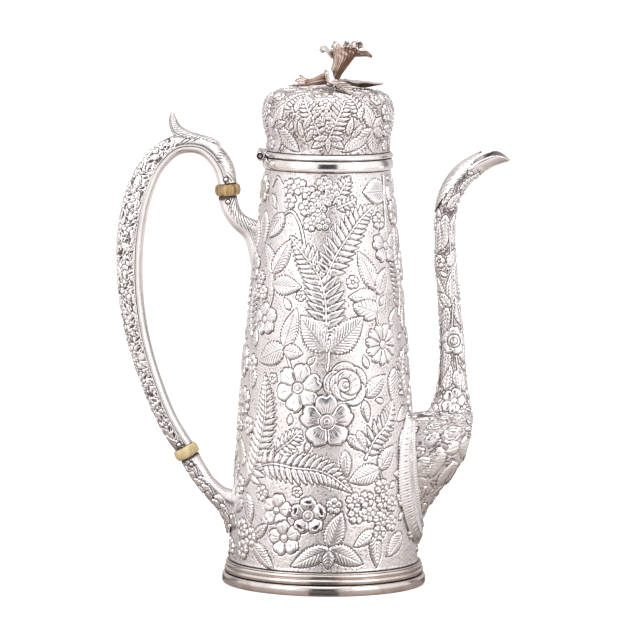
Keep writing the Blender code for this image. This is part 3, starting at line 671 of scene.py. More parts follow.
def body_relief():
    z = np.arange(BODY_LOW, BODY_HIGH + 0.01, STEP)
    radius = body_radius(z)
    angles = full_turn(int(2 * math.pi * 40.0 / STEP))
    relief = Relief(z, radius, angles)
    lay_design(relief, BODY_FRONDS, BODY_STEMS, BODY_SPRIGS)
    # Painted reflection: small pits on the petals of the blossom at (-10, 37) turn dark through their hollow
    # values, standing in for the dark marks its polished petals reflect.
    for way in range(90, 450, 72):
        spot = math.radians(way - 15)
        angle = -10 + math.degrees(6.6 * math.cos(spot) / body_radius(37.0))
        relief.lay(angle, 37 + 6.6 * math.sin(spot), way + 90, 4.5, leaf(3.5, 1.5, 0, 0), -1.1, 0.0)
    relief.fill((7.0, 5.6, 4.6, 3.8, 3.1, 2.5), 900)
    fade = ease(z, BODY_LOW, BODY_LOW + 1.2) * (1 - ease(z, BODY_HIGH - 1.0, BODY_HIGH))
    height = relief.height * fade[:, None] - 0.35 * (1 - fade)[:, None]
    low = [(NECK_RADIUS - BODY_WALL, NECK_LOW), (NECK_RADIUS, NECK_LOW), (NECK_RADIUS, BODY_LOW - 0.3)]
    high = [(radius[-1] - BODY_WALL, BODY_HIGH + 0.2)]
    high += [(body_radius(h) - BODY_WALL, h) for h in np.arange(BODY_HIGH - 1, BODY_LOW, -2.0)]
    high += [(NECK_RADIUS - BODY_WALL, BODY_LOW)]
    below, above = (round_points(*outline_columns(part)[:2], angles) for part in (low, high))
    points = np.concatenate([below, round_points(radius[:, None] + height, z[:, None], angles), above])
    hollow = np.concatenate([0 * below[..., 0] + 0.3, relief.hollow(), 0 * above[..., 0] + 0.1])
    grid_piece("body_relief", "body_shell", CHASED, points, closed_rows=True, hollow=hollow)


body_relief()

# ---------------------------------------------------------------- bands

FOOT_HEIGHT = 4.9
MOULDING_RADIUS, MOULDING_TOP = 46.4, 10.6
BAND_RADIUS, BAND_BORE = 30.6, 28.9
BAND_LOW, BAND_TOP = 195.2, 200.45
LID_BAND_LOW, LID_BAND_TOP = 200.75, 203.2
BEZEL_RADIUS, BEZEL_WALL = 28.3, 0.9
BEZEL_LOW, BEZEL_TOP = 196.2, 203.0
HINGE_X, HINGE_Z = -31.6, 201.2
BARREL_RADIUS, BARREL_LENGTH = 1.8, 18.6


def swell(radius, middle, rise, reach, low=-80, high=80, count=13):
    """Outline of a convex band: radius at its middle, rise up and down, reach inwards."""
    turn = np.radians(np.linspace(low, high, count))
    return [(radius - reach * (1 - math.cos(a)), middle + rise * math.sin(a)) for a in turn]


def notched_ring(name, node, outline, body):
    """A turned band with its hinge side pulled in behind the barrel."""
    radius, height, hollow = outline_columns(outline)
    points = round_points(radius, height, full_turn(240))
    room = BARREL_RADIUS + 0.35
    near = (np.abs(points[..., 1]) < BARREL_LENGTH / 2 + 0.5) & (points[..., 0] < 0)
    level = np.clip(np.abs(points[..., 2] - HINGE_Z), 0, room)
    limit = HINGE_X + np.sqrt(room**2 - level**2)
    points[..., 0] = np.where(near & (points[..., 0] < limit) & (level < room), limit, points[..., 0])
    grid_piece(name, node, PLAIN, points, body, True, hollow=hollow + 0 * points[..., 0], sharp=35)


def bands():
    bore = NECK_RADIUS + 0.3
    # The third value of an outline point is painted shade, near black, on faces in the grooves and in the
    # gaps between rings.
    foot = [(bore, 0.02), (46.9, 0.02), (47.4, 0.2), (47.72, 0.7), (47.8, 1.5), (47.77, 2.6), (47.65, 3.6),
            (47.4, 4.3), (46.9, 4.7, 0.2), (46.5, FOOT_HEIGHT - 0.05, 0.9), (45.4, FOOT_HEIGHT, 1.0),
            (bore, FOOT_HEIGHT, 1.0)]
    turned("foot_ring", "foot_band", FOOT_PLAIN, foot, segments=256)
    moulding = [(bore, 5.2, 1.0), (45.2, 5.2, 1.0), (46.2, 5.25, 0.6),
                *swell(MOULDING_RADIUS + 0.4, 6.45, 1.1, 0.7), (MOULDING_RADIUS - 0.5, 7.7, 0.55),
                *swell(MOULDING_RADIUS - 0.1, 8.75, 0.95, 0.45), (MOULDING_RADIUS - 0.8, 9.85, 0.9),
                *swell(MOULDING_RADIUS - 0.6, 10.2, 0.3, 0.3), (MOULDING_RADIUS - 1.4, 10.5, 0.9),
                (bore, MOULDING_TOP, 1.0)]
    turned("base_wire", "base_moulding", MOULDING_PLAIN, moulding, segments=256)
    rim = [(BAND_BORE, BAND_LOW, 0.9), (29.7, BAND_LOW + 0.05, 0.9), (30.15, 195.4), (30.5, 195.9),
           (BAND_RADIUS, 196.5), (30.58, 197.3), (30.47, 198.2), (30.3, 199.1), (30.05, 199.9),
           (29.85, 200.25, 0.5), (29.6, 200.4, 1.0), (29.3, BAND_TOP, 1.0), (BAND_BORE, BAND_TOP, 1.0)]
    notched_ring("mouth_ring", "mouth_band", rim, "pot")
    bore = BEZEL_RADIUS + 0.3
    rim = [(bore, LID_BAND_LOW, 1.0), (29.4, LID_BAND_LOW, 1.0), (30.1, LID_BAND_LOW + 0.05, 0.6),
           (30.45, 201.0), (30.6, 201.4), (30.45, 201.9), (30.1, 202.4), (29.7, 202.85), (29.45, 203.1, 0.2),
           (29.3, LID_BAND_TOP, 0.9), (bore, LID_BAND_TOP, 1.0)]
    notched_ring("lid_ring", "lid_band", rim, "lid")
    inner = BEZEL_RADIUS - BEZEL_WALL
    flange = [(inner, BEZEL_LOW + 0.2), (inner + 0.3, BEZEL_LOW), (BEZEL_RADIUS - 0.4, BEZEL_LOW),
              (BEZEL_RADIUS, BEZEL_LOW + 0.5), (BEZEL_RADIUS, BEZEL_TOP), (inner, BEZEL_TOP)]
    turned("lid_flange", "lid_bezel", INSIDE, flange, "lid")


# ---------------------------------------------------------------- lid

LID_OUTLINE = [
    (29, 203.5), (29, 209), (30.2, 214), (31, 219), (30.6, 223.5), (29.6, 227), (26, 230.6), (20, 231.9),
    (10, 232.5), (0.5, 232.6),
]
LID_WALL = 1.0
LID_FRONDS = [
    ([(1, 8), (4, 12), (9, 18), (14, 24), (20, 29)], 6.2, 2.2),
    ([(-7, 8), (-11, 14), (-17, 20), (-22, 25), (-26, 30)], 6.2, 2.2),
    ([(30, 16), (27, 22), (22, 28), (6, 33)], 4.6, 2), ([(-46, 21), (-38, 27), (-22, 33)], 4.6, 2),
    ([(78, 4), (75, 12), (80, 20), (74, 27)], 5.2, 2.1),
    ([(-80, 4), (-76, 12), (-82, 21), (-78, 28)], 5.2, 2.1),
]
LID_SPRIGS = [
    ("leaf", (-55, 12.5, 62, 12.5, 6.2), (-54, 12.2, -40, 17, 8.4), (-55, 12, -88, 11.5, 6.4),
        (-56, 12.5, 150, 9, 5), (-54, 12.4, 18, 8, 4), (43, 12, 113, 14, 7), (43, 12, 42, 8, 5),
        (43, 11.7, 215, 18, 7.6), (43, 11.5, -80, 11, 7), (44, 11.8, -25, 9, 5.4), (0, 7.8, 212, 9, 4.2),
        (0, 7.8, -32, 9, 4.2), (0, 8, 188, 7, 3), (0, 8, -8, 7, 3), (0, 8, -90, 7, 2.6)),
    ("small", (-3, 23.5, 3.2, 85), (-10, 20.6, 2.4, 60), (-2, 18.6, 2.6, 90), (-7, 15.4, 2.4, 30),
        (1, 14, 2.2, 60), (-18, 10.4, 2.2, 20)),
    ("leaf", (-22, 12, 60, 8, 3.2), (-24, 8, 100, 8, 3), (18, 9, 80, 9, 3.4), (22, 8, 50, 8, 3),
        (-30, 20, 80, 8, 3.6), (26, 17, 60, 7, 3.2)),
    ("blossom", (62, 19, 4.4, 5, 0.24, 90)), ("small", (64, 10.6, 3.2, 60), (-68, 20, 3.2, 45)),
    ("leaf", (64, 25, 60, 9, 5), (-64, 26, 110, 9, 5), (12, 33, 80, 9, 5), (-50, 34, 80, 9, 5.5),
        (-20, 6, 60, 7, 2.6), (-3, 31, 88, 9, 4)),
]


def lid_relief():
    run = smooth_path(LID_OUTLINE, 400)
    length = run_along(run)
    along = np.arange(0, length[-1], STEP)
    radius, z = (np.interp(along, length, run[:, k]) for k in (0, 1))
    angles = full_turn(int(2 * math.pi * 30.0 / STEP))
    relief = Relief(along, radius, angles, ground=-0.4)
    lay_design(relief, LID_FRONDS, sprigs=LID_SPRIGS)
    relief.fill((3.2, 2.6, 2.1, 1.6), 500)
    fade = ease(along, 0.0, 1.4) * (1 - ease(along, along[-1] - 6.0, along[-1] - 3.0))
    base = round_points(radius[:, None], z[:, None], angles)
    inside = (base - LID_WALL * grid_normals(base))[::-4]
    inside[0, :, :2] *= 0.2
    hollow = np.concatenate([relief.hollow(0.34, 0.07) + 0.08, np.full(inside.shape[:2], 0.15)])
    points = np.concatenate([raised(base, 0.85 * relief.height * fade[:, None]), inside])
    grid_piece("lid_relief", "lid_shell", CHASED_LID, points, "lid", True, hollow=hollow)


# ---------------------------------------------------------------- spout

SPOUT_STATIONS = [
    (24, 27.6, 45.3, 27.6, 3), (22, 33.5, 48.3, 33.5, 7.8), (17, 40.5, 52.6, 40.5, 10.8),
    (12, 50, 60.2, 50, 12.7), (10, 60, 66.2, 60, 13.4), (12, 69.5, 68.8, 69.5, 13.2), (22, 76, 69.4, 76, 12),
    (37, 79.2, 69.2, 79.6, 10.8), (47, 81, 68.7, 82.4, 9.6), (50.4, 86, 67.9, 87, 8.4),
    (52.4, 95, 66.6, 95.6, 7.2), (53.2, 113, 65.1, 113.6, 6.3), (51.6, 137, 62.5, 137.4, 5.8),
    (50.1, 160, 60.4, 160, 5.4), (50.9, 176.5, 60.9, 175.3, 5.3), (54.9, 186.6, 64.2, 184.6, 5.5),
    (60.3, 193.6, 70, 191.2, 5.8), (65.6, 197.4, 77, 196.2, 6.3), (71.6, 199.8, 85.2, 199.1, 5.8),
]
SPOUT_WALL = 0.9
LIP_CROWN = 3.3
SPOUT_STEMS = [
    [(20, 132), (10, 126), (2, 121)], [(30, 92), (24, 100), (16, 108)],
    [(12, 133), (26, 142), (30, 156), (18, 170)], [(40, 64), (30, 57), (14, 50)],
]
SPOUT_SPRIGS = [
    ("leaf", (38, 65.5, -86, 15, 9), (15, 60, -52, 11, 10.5), (30, 38, 70, 9.5, 5.5), (24, 46, -70, 10, 6),
        (26, 36, -80, 8, 5), (64, 58, -60, 14, 7), (60, 47, 80, 12, 6), (4, 66, 190, 10, 7),
        (72, 70, -75, 12, 6)),
    ("rose", (19, 76.5, 3.8, 0), (56, 79, 4, 60), (50, 71.6, 4.8, 30)),
    ("leaf", (27, 72.5, -95, 8, 6.4), (66, 66, 200, 8, 7)), ("small", (34, 83, 3, 90)),
    ("blossom", (6, 87, 6.2, 5, 0.24, 70)),
    ("leaf", (46, 91, 100, 13, 5.4), (-28, 92, 84, 13, 6), (50, 105, 88, 15, 5.6),
        (-26, 112, -98, 14, 5.4)),
    ("blossom", (8, 115, 6.8, 5, 0.46, 80)),
    ("leaf", (14, 101, -80, 9, 5), (-14, 131, -102, 13, 5), (16, 131.5, 86, 16, 6.6),
        (54, 122, 98, 14, 5.4), (-36, 130, 98, 15, 5.6), (4, 131, 128, 9, 4.6), (50, 142, 92, 15, 5.6),
        (-14, 158, 118, 9, 5), (12, 150, 60, 9, 4.8), (-2, 174, -90, 15, 6.2), (42, 160, 86, 15, 5.4),
        (-46, 156, 86, 15, 5.2)),
    ("blossom", (36, 181, 3.6, 5, 0.3, 90)),
    ("leaf", (2, 177, 70, 9, 4.6), (-34, 178, 88, 12, 4.6), (30, 186, 84, 11, 4.4)),
]


def even_loop(points, count):
    """The same closed loop with evenly spaced points, from its first one, and its length."""
    ring = np.vstack([points, points[:1]])
    run = run_along(ring)
    at = np.linspace(0.0, run[-1], count, endpoint=False)
    return np.stack([np.interp(at, run, ring[:, k]) for k in range(3)], -1), run[-1]


def tube_points(stations, count, columns, shrink=0.0, crown=0.0, crown_rows=0):
    """Rings up a tube of ellipses, their spread, the distance along it and the height of each.

    A station is the inner side's x and z, the outer side's x and z, and the half width. Columns start at
    the far side (+Y) and pass the inner, near and outer sides.
    """
    rows = smooth_path(stations, count)
    turn = np.linspace(math.pi / 2, math.pi * 2.5, 240, endpoint=False)
    rings, spread = [], []
    for i, (ix, iz, ox, oz, half) in enumerate(rows):
        middle, reach = np.array((ix + ox, iz + oz)) / 2, np.array((ox - ix, oz - iz)) / 2
        size = np.linalg.norm(reach)
        reach = reach * (size - shrink) / size
        lift = crown * ease(i, count - crown_rows, count - 1) if crown_rows else 0.0
        wave = lift * np.sin(turn) ** 2 * (1 + 0.2 * np.sin(turn))
        loop = np.stack([middle[0] + reach[0] * np.cos(turn), (half - shrink) * np.sin(turn),
                         middle[1] + reach[1] * np.cos(turn) + wave], -1)
        ring, around = even_loop(loop, columns)
        rings.append(ring)
        spread.append(around / (2 * math.pi))
    middle = np.stack([(rows[:, 0] + rows[:, 2]) / 2, (rows[:, 1] + rows[:, 3]) / 2], -1)
    return np.array(rings), np.array(spread), run_along(middle), middle[:, 1]


def tube_relief(stations, count, columns, ground, *crown):
    """A flat relief on a tube, the tube's points and the height of each of its rings."""
    base, spread, along, level = tube_points(stations, count, columns, *crown)
    return Relief(along, spread, full_turn(columns), ground=ground), base, level


def outside_body(points):
    """False for points that lie sunk in the body's wall."""
    return np.hypot(points[..., 0], points[..., 1]) >= body_radius(points[..., 2]) - 0.75


def spout_relief():
    columns, inner_rows = 190, 120
    relief, base, level = tube_relief(SPOUT_STATIONS, 560, columns, -0.35, 0.0, LIP_CROWN, 60)
    along = relief.along

    def at_height(z):
        return np.interp(z, np.maximum.accumulate(level), along)

    lay_design(relief, sprigs=SPOUT_SPRIGS, level=at_height)
    for points in SPOUT_STEMS:
        relief.stem([(a, at_height(z)) for a, z in points], 0.8)
        relief.stem([(180.0 - a, at_height(z)) for a, z in points], 0.8)
    relief.fill((3.2, 2.6, 2.0, 1.5), 1500)
    fade = 1 - ease(along, along[-1] - 16.0, along[-1] - 7.0)[:, None]
    rim = base[-1:] - 0.5 * SPOUT_WALL * grid_normals(base)[-1:] + (0, 0, 0.25)
    inside = tube_points(SPOUT_STATIONS, inner_rows, columns, SPOUT_WALL, LIP_CROWN, 13)[0][::-1]
    points = np.concatenate([raised(base, 0.8 * relief.height * fade), rim, inside])
    shade = (relief.hollow(0.6, 0.075) - 0.25 * ease(-level, -95, -70)[:, None]) * fade
    # Painted shade: the inside of the spout is dark all through.
    inner_shade = np.linspace(0.95, 1.0, inner_rows)[:, None] * np.ones((1, columns))
    shade = np.concatenate([shade, np.zeros((1, columns)), inner_shade])
    grid_piece("spout_relief", "spout_shell", CHASED_SPOUT, points, keep=outside_body(points), hollow=shade)


# Arc and height of the border's outer edge, then of its inner one, from the spout's middle line to its side.
BORDER_STATIONS = [
    (0, 18.5, 0, 27.4), (11.8, 21.1, 5, 29), (20, 28, 8.6, 34), (24.6, 37.5, 11, 40.5),
    (26.6, 47.5, 12.8, 50), (25.9, 58.5, 13.5, 60), (22.9, 69.5, 13.2, 69.8), (16, 80.7, 11.6, 80.4),
]
RIB_PITCH = 1.4


def on_body(arc, z, height):
    """Points above the body's surface, `arc` round from the spout's side."""
    radius = body_radius(z)
    turn = math.pi / 2 - arc / radius
    return np.stack([(radius + height) * np.sin(turn), (radius + height) * np.cos(turn), z], -1)


def spout_skirt():
    """The border of the spout's base: fine ribs that run out to a scalloped edge."""
    half = smooth_path(BORDER_STATIONS, 260)
    rows = np.concatenate([half[:0:-1] * (-1, 1, -1, 1), half])
    run = run_along(rows[:, :2])
    run -= run[-1] / 2
    phase = run / RIB_PITCH * math.pi
    valley = bump(np.sin(phase), 0.32)[:, None]
    deeper = bump(np.sin(phase / 2), 0.2)[:, None]
    t = np.linspace(0.0, 1.0, 30)[None, :]
    arc_out, z_out, arc_in, z_in = (rows[:, k][:, None] for k in range(4))
    grow = 1 + 0.05 * np.abs(np.sin(phase))[:, None]
    share = 1 - (1 - t) * grow
    ends = ease(-np.abs(run), -run[-1], 4.0 - run[-1])[:, None]
    height = 0.4 + (0.6 + 1.4 * ends) * ease(share, -0.12, 0.5) - 0.12 * valley * ease(t, 0.0, 0.08)
    height = height - 0.6 * deeper * bump(t - 0.3, 0.06) + 0.8 * ease(t, 0.7, 1.0) * ends
    arc, z = arc_out + (arc_in - arc_out) * share, z_out + (z_in - z_out) * share
    points, under = on_body(arc, z, height), on_body(arc[:, ::-3], z[:, ::-3], -0.5)
    shade = 0.4 * valley * bump(t - 0.4, 0.5) + 1.4 * deeper * bump(t - 0.3, 0.06) + 0.9 * bump(t - 1.0, 0.04)
    # Painted shadow: a dark line along the border's outer edge, where it meets the body.
    shade = np.concatenate([shade + 0.5 * bump(t, 0.05) - 0.3, np.full(under.shape[:2], 0.35)], 1)
    grid_piece("spout_skirt", "spout_border", CHASED_SPOUT, np.concatenate([points, under], 1), hollow=shade)


def leaf_sheet(name, node, paint, stations, across, thick, teeth, cup=0.0, wave=0.0, wrap=0.0, veins=6,
               tone=0.0, back=0.8, body="lid"):
    """A thin chased leaf along a path of (x, y, z, half width); `wrap` is the radius it is bent over; `back`
    is the painted shade on its underside.
    """
    rows = smooth_path(stations, 130)
    path, half = rows[:, :3], np.maximum(rows[:, 3], 0.15)
    step = np.gradient(path, axis=0)
    side = np.broadcast_to(np.array(across, float), path.shape)
    side = side - step * (side * step).sum(1, keepdims=True) / (step * step).sum(1, keepdims=True)
    side = side / np.linalg.norm(side, axis=1, keepdims=True)
    up = np.cross(step, side)
    up *= math.copysign(1.0, up[0, 2]) / np.linalg.norm(up, axis=1, keepdims=True)
    t = np.linspace(0, 1, len(rows))[:, None]
    s = np.linspace(-1, 1, 61)[None, :]
    wide = half[:, None] * (1.04 - 0.16 * ((t * teeth - 0.5 * np.abs(s)) % 1.0) * ease(t, 0.1, 0.25))
    length = np.linalg.norm(step, axis=1).sum()
    arc = wide * s
    phase = (t * length - 1.3 * np.abs(arc)) * veins / length % 1.0
    away = np.minimum(phase, 1 - phase) * length / veins / 1.64
    rise = cup * wide * s**2 + wave * np.sin(t * 15 + 2 * s) * s**2 - 0.3 * bump(arc, 0.3)
    veiled = ease(np.abs(s), 0.05, 0.2)
    rise -= 0.2 * bump(away, 0.22) * veiled
    lateral = arc
    if wrap:
        lateral, rise = (wrap + rise) * np.sin(arc / wrap), (wrap + rise) * np.cos(arc / wrap) - wrap
    top = path[:, None] + side[:, None] * lateral[..., None] + up[:, None] * rise[..., None]
    edge = thick * np.sqrt(np.clip(1.02 - s**2, 0, 1))
    below = top - up[:, None] * (edge * ease(t, -0.1, 0.02))[..., None]
    shade = 0.9 * bump(arc, 0.35) + 0.8 * bump(away, 0.26) * veiled - 0.35 + tone
    # Painted shade: the underside gets the value `back`.
    shade = np.concatenate([shade, np.full(shade.shape, back)], 1)
    grid_piece(name, node, paint, np.concatenate([top, below[:, ::-1]], 1), body, hollow=shade)


# ---------------------------------------------------------------- handle

HANDLE_STATIONS = [
    (-46.9, 187.45, 8.9), (-49.4, 196.2, 9.5), (-59, 205, 8.8), (-70, 205.3, 9.4), (-80.3, 197.8, 11.2),
    (-87.6, 183.6, 12.6), (-91.9, 162, 12.9), (-92.1, 142, 12.1), (-88.1, 114.3, 11.1), (-80.4, 90.3, 10.1),
    (-73.4, 74.4, 9.7), (-66.4, 63.6, 9.2),
]
STRIP_DEPTH = 3.6
UPPER_LEAN, LOWER_LEAN = math.radians(4.5), math.radians(-150.7)


def handle_rows(count):
    """Middle, outward direction, depth and distance along, of each section of the handle."""
    rows = smooth_path(HANDLE_STATIONS, count)
    step = np.gradient(rows[:, :2], axis=0)
    t = np.linspace(0, 1, count)[:, None]
    first, last = (np.array((-math.sin(lean), math.cos(lean))) for lean in (UPPER_LEAN, LOWER_LEAN))
    step /= np.linalg.norm(step, axis=1)[:, None]
    step += bump(t, 0.02) * (first - step) + bump(1 - t, 0.02) * (last - step)
    step /= np.linalg.norm(step, axis=1)[:, None]
    outward = np.stack([step[:, 1], -step[:, 0]], axis=1)
    return rows[:, :2], outward, rows[:, 2], run_along(rows[:, :2])


def handle_section(count):
    """Where the outer shell and the inner strip part, the outer one's depth, and the half width."""
    depth = handle_rows(count)[2]
    return -depth / 2 + STRIP_DEPTH, depth - STRIP_DEPTH, (3.1 + 0.62 * depth) / 2


def channel(count, columns, base, depth, half, wall, power=1.0):
    """A half-round channel's outer face, its inner face back, and the distance along it."""
    middle, outward, _, along = handle_rows(count)
    faces = []
    for shrink, way in ((0.0, 1), (wall, -1)):
        turn = np.radians(np.linspace(-90, 90, columns)[::way])[None, :]
        deep = (depth - math.copysign(shrink, depth[0]))[:, None]
        reach = base[:, None] + deep * np.abs(np.cos(turn)) ** power
        flat = middle[:, None] + outward[:, None] * reach[..., None]
        faces.append(np.stack([flat[..., 0], (half - shrink)[:, None] * np.sin(turn), flat[..., 1]], -1))
    return *faces, along


def handle_relief():
    count, columns = 760, 84
    outer, inner, along = channel(count, columns, *handle_section(count), 1.1)
    around = np.linalg.norm(np.diff(outer, axis=1), axis=2).sum(1)
    turn = np.linspace(-90, 90, columns)
    relief = Relief(along, around / math.pi, np.radians(turn), closed=False, ground=-0.35)
    for angle in (-40, 40):
        relief.feather(angle, 0.0, 36.0)
        relief.feather(angle, along[-1] - 9.0, along[-1] + 2.0)
    for i, at in enumerate(np.arange(37.0, along[-1] - 9.0, 3.5)):
        for side in (-1, 1):
            for lane in (78, 49, 20):
                way = 90 + random.uniform(-65, 65)
                shape = leaf(random.uniform(5.2, 8.2), random.uniform(2.6, 4.0), 4, 4, rib=0.26)
                spot = side * (lane + random.uniform(-9, 9))
                relief.lay(spot, at + random.uniform(-2.5, 0.5), way, 9.5, shape, 0.15, 0.9)
            if i % 4 == 1:
                shape = blossom(3.9, 5, 0.3, 0.26, 0.1, 40 * i, 1.8, 0.2)
                relief.lay(side * random.uniform(30, 66), at, 0, 6.0, shape, 0.3, 0.9)
    for at in np.arange(37.0, along[-1] - 8.0, 1.2):
        for side in (-1, 1):
            size = random.uniform(1.8, 3.4)
            way = 90 + random.uniform(-60, 60)
            relief.lay(side * random.uniform(6, 86), at, way, 4.5, leaf(size, 0.5 * size, 0, 0), -1.3, 0.0)
    edge = ease(turn, -90, -80) * ease(-turn, -90, -80)
    ends = ease(along, 0.0, 4.0) * ease(-along, -along[-1], -along[-1] + 4.0)
    skin = raised(outer, 0.5 * relief.height * edge * ends[:, None], False)
    points = np.concatenate([skin, inner[:, ::8]], 1)
    # Painted reflection: the shell darkens at both ends beside the bone collars, standing in for the dark
    # that the ends reflect.
    painted_dark_ends = bump(along, 1.6) + bump(along - along[-1], 1.6)
    shade = np.clip(1.7 * relief.hollow(1.0, 0.08) + 0.05, -1, 1) * edge + 0.8 * painted_dark_ends[:, None]
    shade = np.concatenate([shade, np.full(inner[:, ::8].shape[:2], 0.4)], 1)
    grid_piece("handle_relief", "handle_outer_shell", CHASED_HANDLE, points, hollow=shade)


def handle_strip():
    count = 260
    split, _, half = handle_section(count)
    depth = np.full(count, 0.3 - STRIP_DEPTH)
    outer, inner, _ = channel(count, 41, split - 0.3, depth, half * 0.93, 1.1, 0.85)
    points = np.concatenate([outer, inner[:, ::4]], 1)[:, ::-1]
    grid_piece("handle_strip", "handle_inner_strip", STRIP_PLAIN, points, sharp=50)


THUMB = [
    (-49.6, 206, -49.9, 205.2, 0.6), (-53.9, 208.9, -54.2, 206.6, 2.6), (-59.5, 210.3, -59.8, 207, 3.7),
    (-65.1, 212.1, -66.6, 207.9, 4.1), (-68.8, 214.4, -72.4, 210.8, 3.8), (-70.7, 217.4, -74.2, 216.6, 2.6),
    (-72, 220.8, -73.3, 220.9, 0.5),
]


def thumb_relief():
    """The curled leaf on top of the handle: veins swept forward to its tip."""
    relief, base, _ = tube_relief(THUMB, 190, 120, 0.0)
    along, spread = relief.along, relief.spread[:, None]
    off = (np.degrees(relief.angles)[None, :] + 270) % 360 - 180
    around = np.abs(np.radians(off)) * spread
    reach = math.pi * spread * 0.62
    phase = (along[:, None] - 1.2 * around) / 1.5 % 1.0
    away = np.minimum(phase, 1 - phase) * 1.5 / 1.56
    relief.height -= 0.28 * bump(away, 0.2) * ease(around, 0.3, 0.8) + 0.3 * bump(around, 0.25)
    relief.height += 0.35 * (1 - ease(around, reach - 0.4, reach)) - 0.2 * bump(around - reach, 0.3)
    relief.cover[:] = True
    ends = ease(along, 0.0, 1.5) * (1 - ease(along, along[-1] - 2.0, along[-1]))
    skin = raised(base, relief.height * ends[:, None])
    first, last = (ring.mean(0) + 0 * ring[None] for ring in (skin[0], skin[-1]))
    shade = relief.hollow(0.2, 0.07)
    grid_piece("thumb_piece", "thumb_leaf", CHASED_HANDLE, np.concatenate([first, skin, last]),
               hollow=np.concatenate([shade[:1], shade, shade[-1:]]))


UPPER_SOCKET = [
    (-42.4, 181.8, -51, 181.1, 4.3), (-41.9, 178.3, -50.4, 177.6, 4.2), (-40.4, 174.6, -48.9, 173.4, 4.3),
    (-37.6, 172, -45, 167.6, 4.6), (-34.4, 170.6, -38.9, 161.5, 5.2), (-31, 169.8, -36, 151, 5.4),
    (-26, 169, -34.5, 139, 5),
]
LOWER_SOCKET = [
    (-59.4, 60.6, -67.5, 56.1, 4.4), (-55.6, 54, -63.7, 49.8, 4.5), (-52.6, 49.4, -60.2, 44.9, 4.6),
    (-49.4, 46.2, -54.8, 38.6, 4.9), (-46, 43.9, -48.9, 31.2, 5.6), (-40, 43, -45.6, 22, 5.8),
]


def socket_relief(name, node, stations, inner_is_plain):
    """A socket soldered to the body: leaves or fine chevrons on one side, plain on the other."""
    columns = 110
    relief, base, _ = tube_relief(stations, 170, columns, -0.1)
    along, turn = relief.along, np.degrees(relief.angles)
    plain = 1 - ease(turn, 6, 20) * (1 - ease(turn, 160, 174))
    if inner_is_plain:
        for i, at in enumerate(np.arange(-1.0, along[-1], 3.7)):
            for lane in (26, 64, 116, 154):
                way = 90 + 50 * math.sin(2.1 * i + lane)
                relief.lay(lane, at, way, 8.0, leaf(6.6, 3.8, 4, 4, rib=0.26), 0.15, 0.8)
        plain = plain[::-1]
    else:
        for angle in (-48, 228):
            relief.feather(angle, 0.0, along[-1] + 2.0, 0.5 * math.pi * relief.spread.mean())
    ends = ease(along, 0.0, 2.0)[:, None] * plain
    inside = tube_points(stations, 20, columns, 1.1)[0][::-1]
    points = np.concatenate([raised(base, 0.8 * relief.height * ends), inside])
    # Painted reflection: darker at the end beside the bone collar.
    shade = relief.hollow(0.1, 0.08) * ends + 0.8 * bump(along, 1.6)[:, None]
    shade = np.concatenate([shade, np.full(inside.shape[:2], 0.5)])
    grid_piece(name, node, CHASED_HANDLE, points, closed_rows=True, keep=outside_body(points), hollow=shade)


def collar(name, node, paint, x, z, lean):
    """A ribbed, swelling collar of bone between two silver tubes, with its tenons."""
    angles = np.linspace(0, 2 * math.pi, 160, endpoint=False)
    outline = [(0.05, -8.2), (2.4, -8.2), (2.4, -2.66), (4.3, -2.66),
               *swell(5.95, 0.0, 2.62, 1.15, -72, 72, 17), (4.3, 2.66), (2.4, 2.66), (2.4, 8.2), (0.05, 8.2)]
    radius, height, _ = outline_columns(outline)
    wear = 0.05 * np.sin(17 * angles + 1.0) + 0.035 * np.sin(29 * angles) + 0.05 * np.sin(5 * angles)
    points = round_points(radius + wear * (radius > 4.5), height, angles)
    points = aimed(points, (-math.sin(lean), 0, math.cos(lean)), (x, 0, z))
    grid_piece(name, node, paint, points, sharp=45)


RIVETS = {"upper_handle_pin": (-47.5, 189.6, 10.2), "upper_socket_pin": (-46.4, 179.2, 10.0),
          "lower_handle_pin": (-68.5, 64.6, 10.6), "lower_socket_pin": (-62.6, 55.4, 10.4)}


def rivets():
    for name, (x, z, length) in RIVETS.items():
        end = length / 2
        outline = [(0.03, -end - 0.4), (0.45, -end - 0.3), (0.78, -end), (0.78, end), (0.45, end + 0.3),
                   (0.03, end + 0.4)]
        turned(name + "_rivet", name, PLAIN, outline, "pot", 28, (x, 0, z), (0, 1, 0), False)
        # The cup round each rivet head carries painted shade, dark in its recess.
        cup = [(0.86, -0.6, 1.0), (1.3, -0.6, 1.0), (1.42, 0.06, 0.9), (1.2, 0.14, 0.7), (0.95, -0.05, 1.0)]
        for side, at in (("near", -1), ("far", 1)):
            base = (x, at * (end - 0.1), z)
            turned(f"{name}_cup_{side}", None, HINGE_PLAIN, cup, "pot", 32, base, (0, at, 0))


# ---------------------------------------------------------------- hinge


def strap(name, node, body, outer, inner):
    """A soldered strap beside the barrel: its profile about the hinge axis, rounded off at both ends."""
    profile = np.array(outer + inner[::-1])
    middle = profile.mean(0)
    rings, half = [], BARREL_LENGTH / 2 - 0.6
    for y, size in ((-half, 0.02), (-half, 0.8), (-half + 0.15, 0.94), (-half + 0.5, 1.0)):
        ring = middle + (profile - middle) * size
        rings.append(np.stack([HINGE_X + ring[:, 0], np.full(len(ring), y), HINGE_Z + ring[:, 1]], -1))
    rings += [ring * (1, -1, 1) for ring in rings[::-1]]
    grid_piece(name, node, HINGE_PLAIN, np.array(rings), body, sharp=50)


def round_profile(radius, low, high):
    return [(radius * math.cos(a), radius * math.sin(a)) for a in np.radians(np.linspace(low, high, 9))]


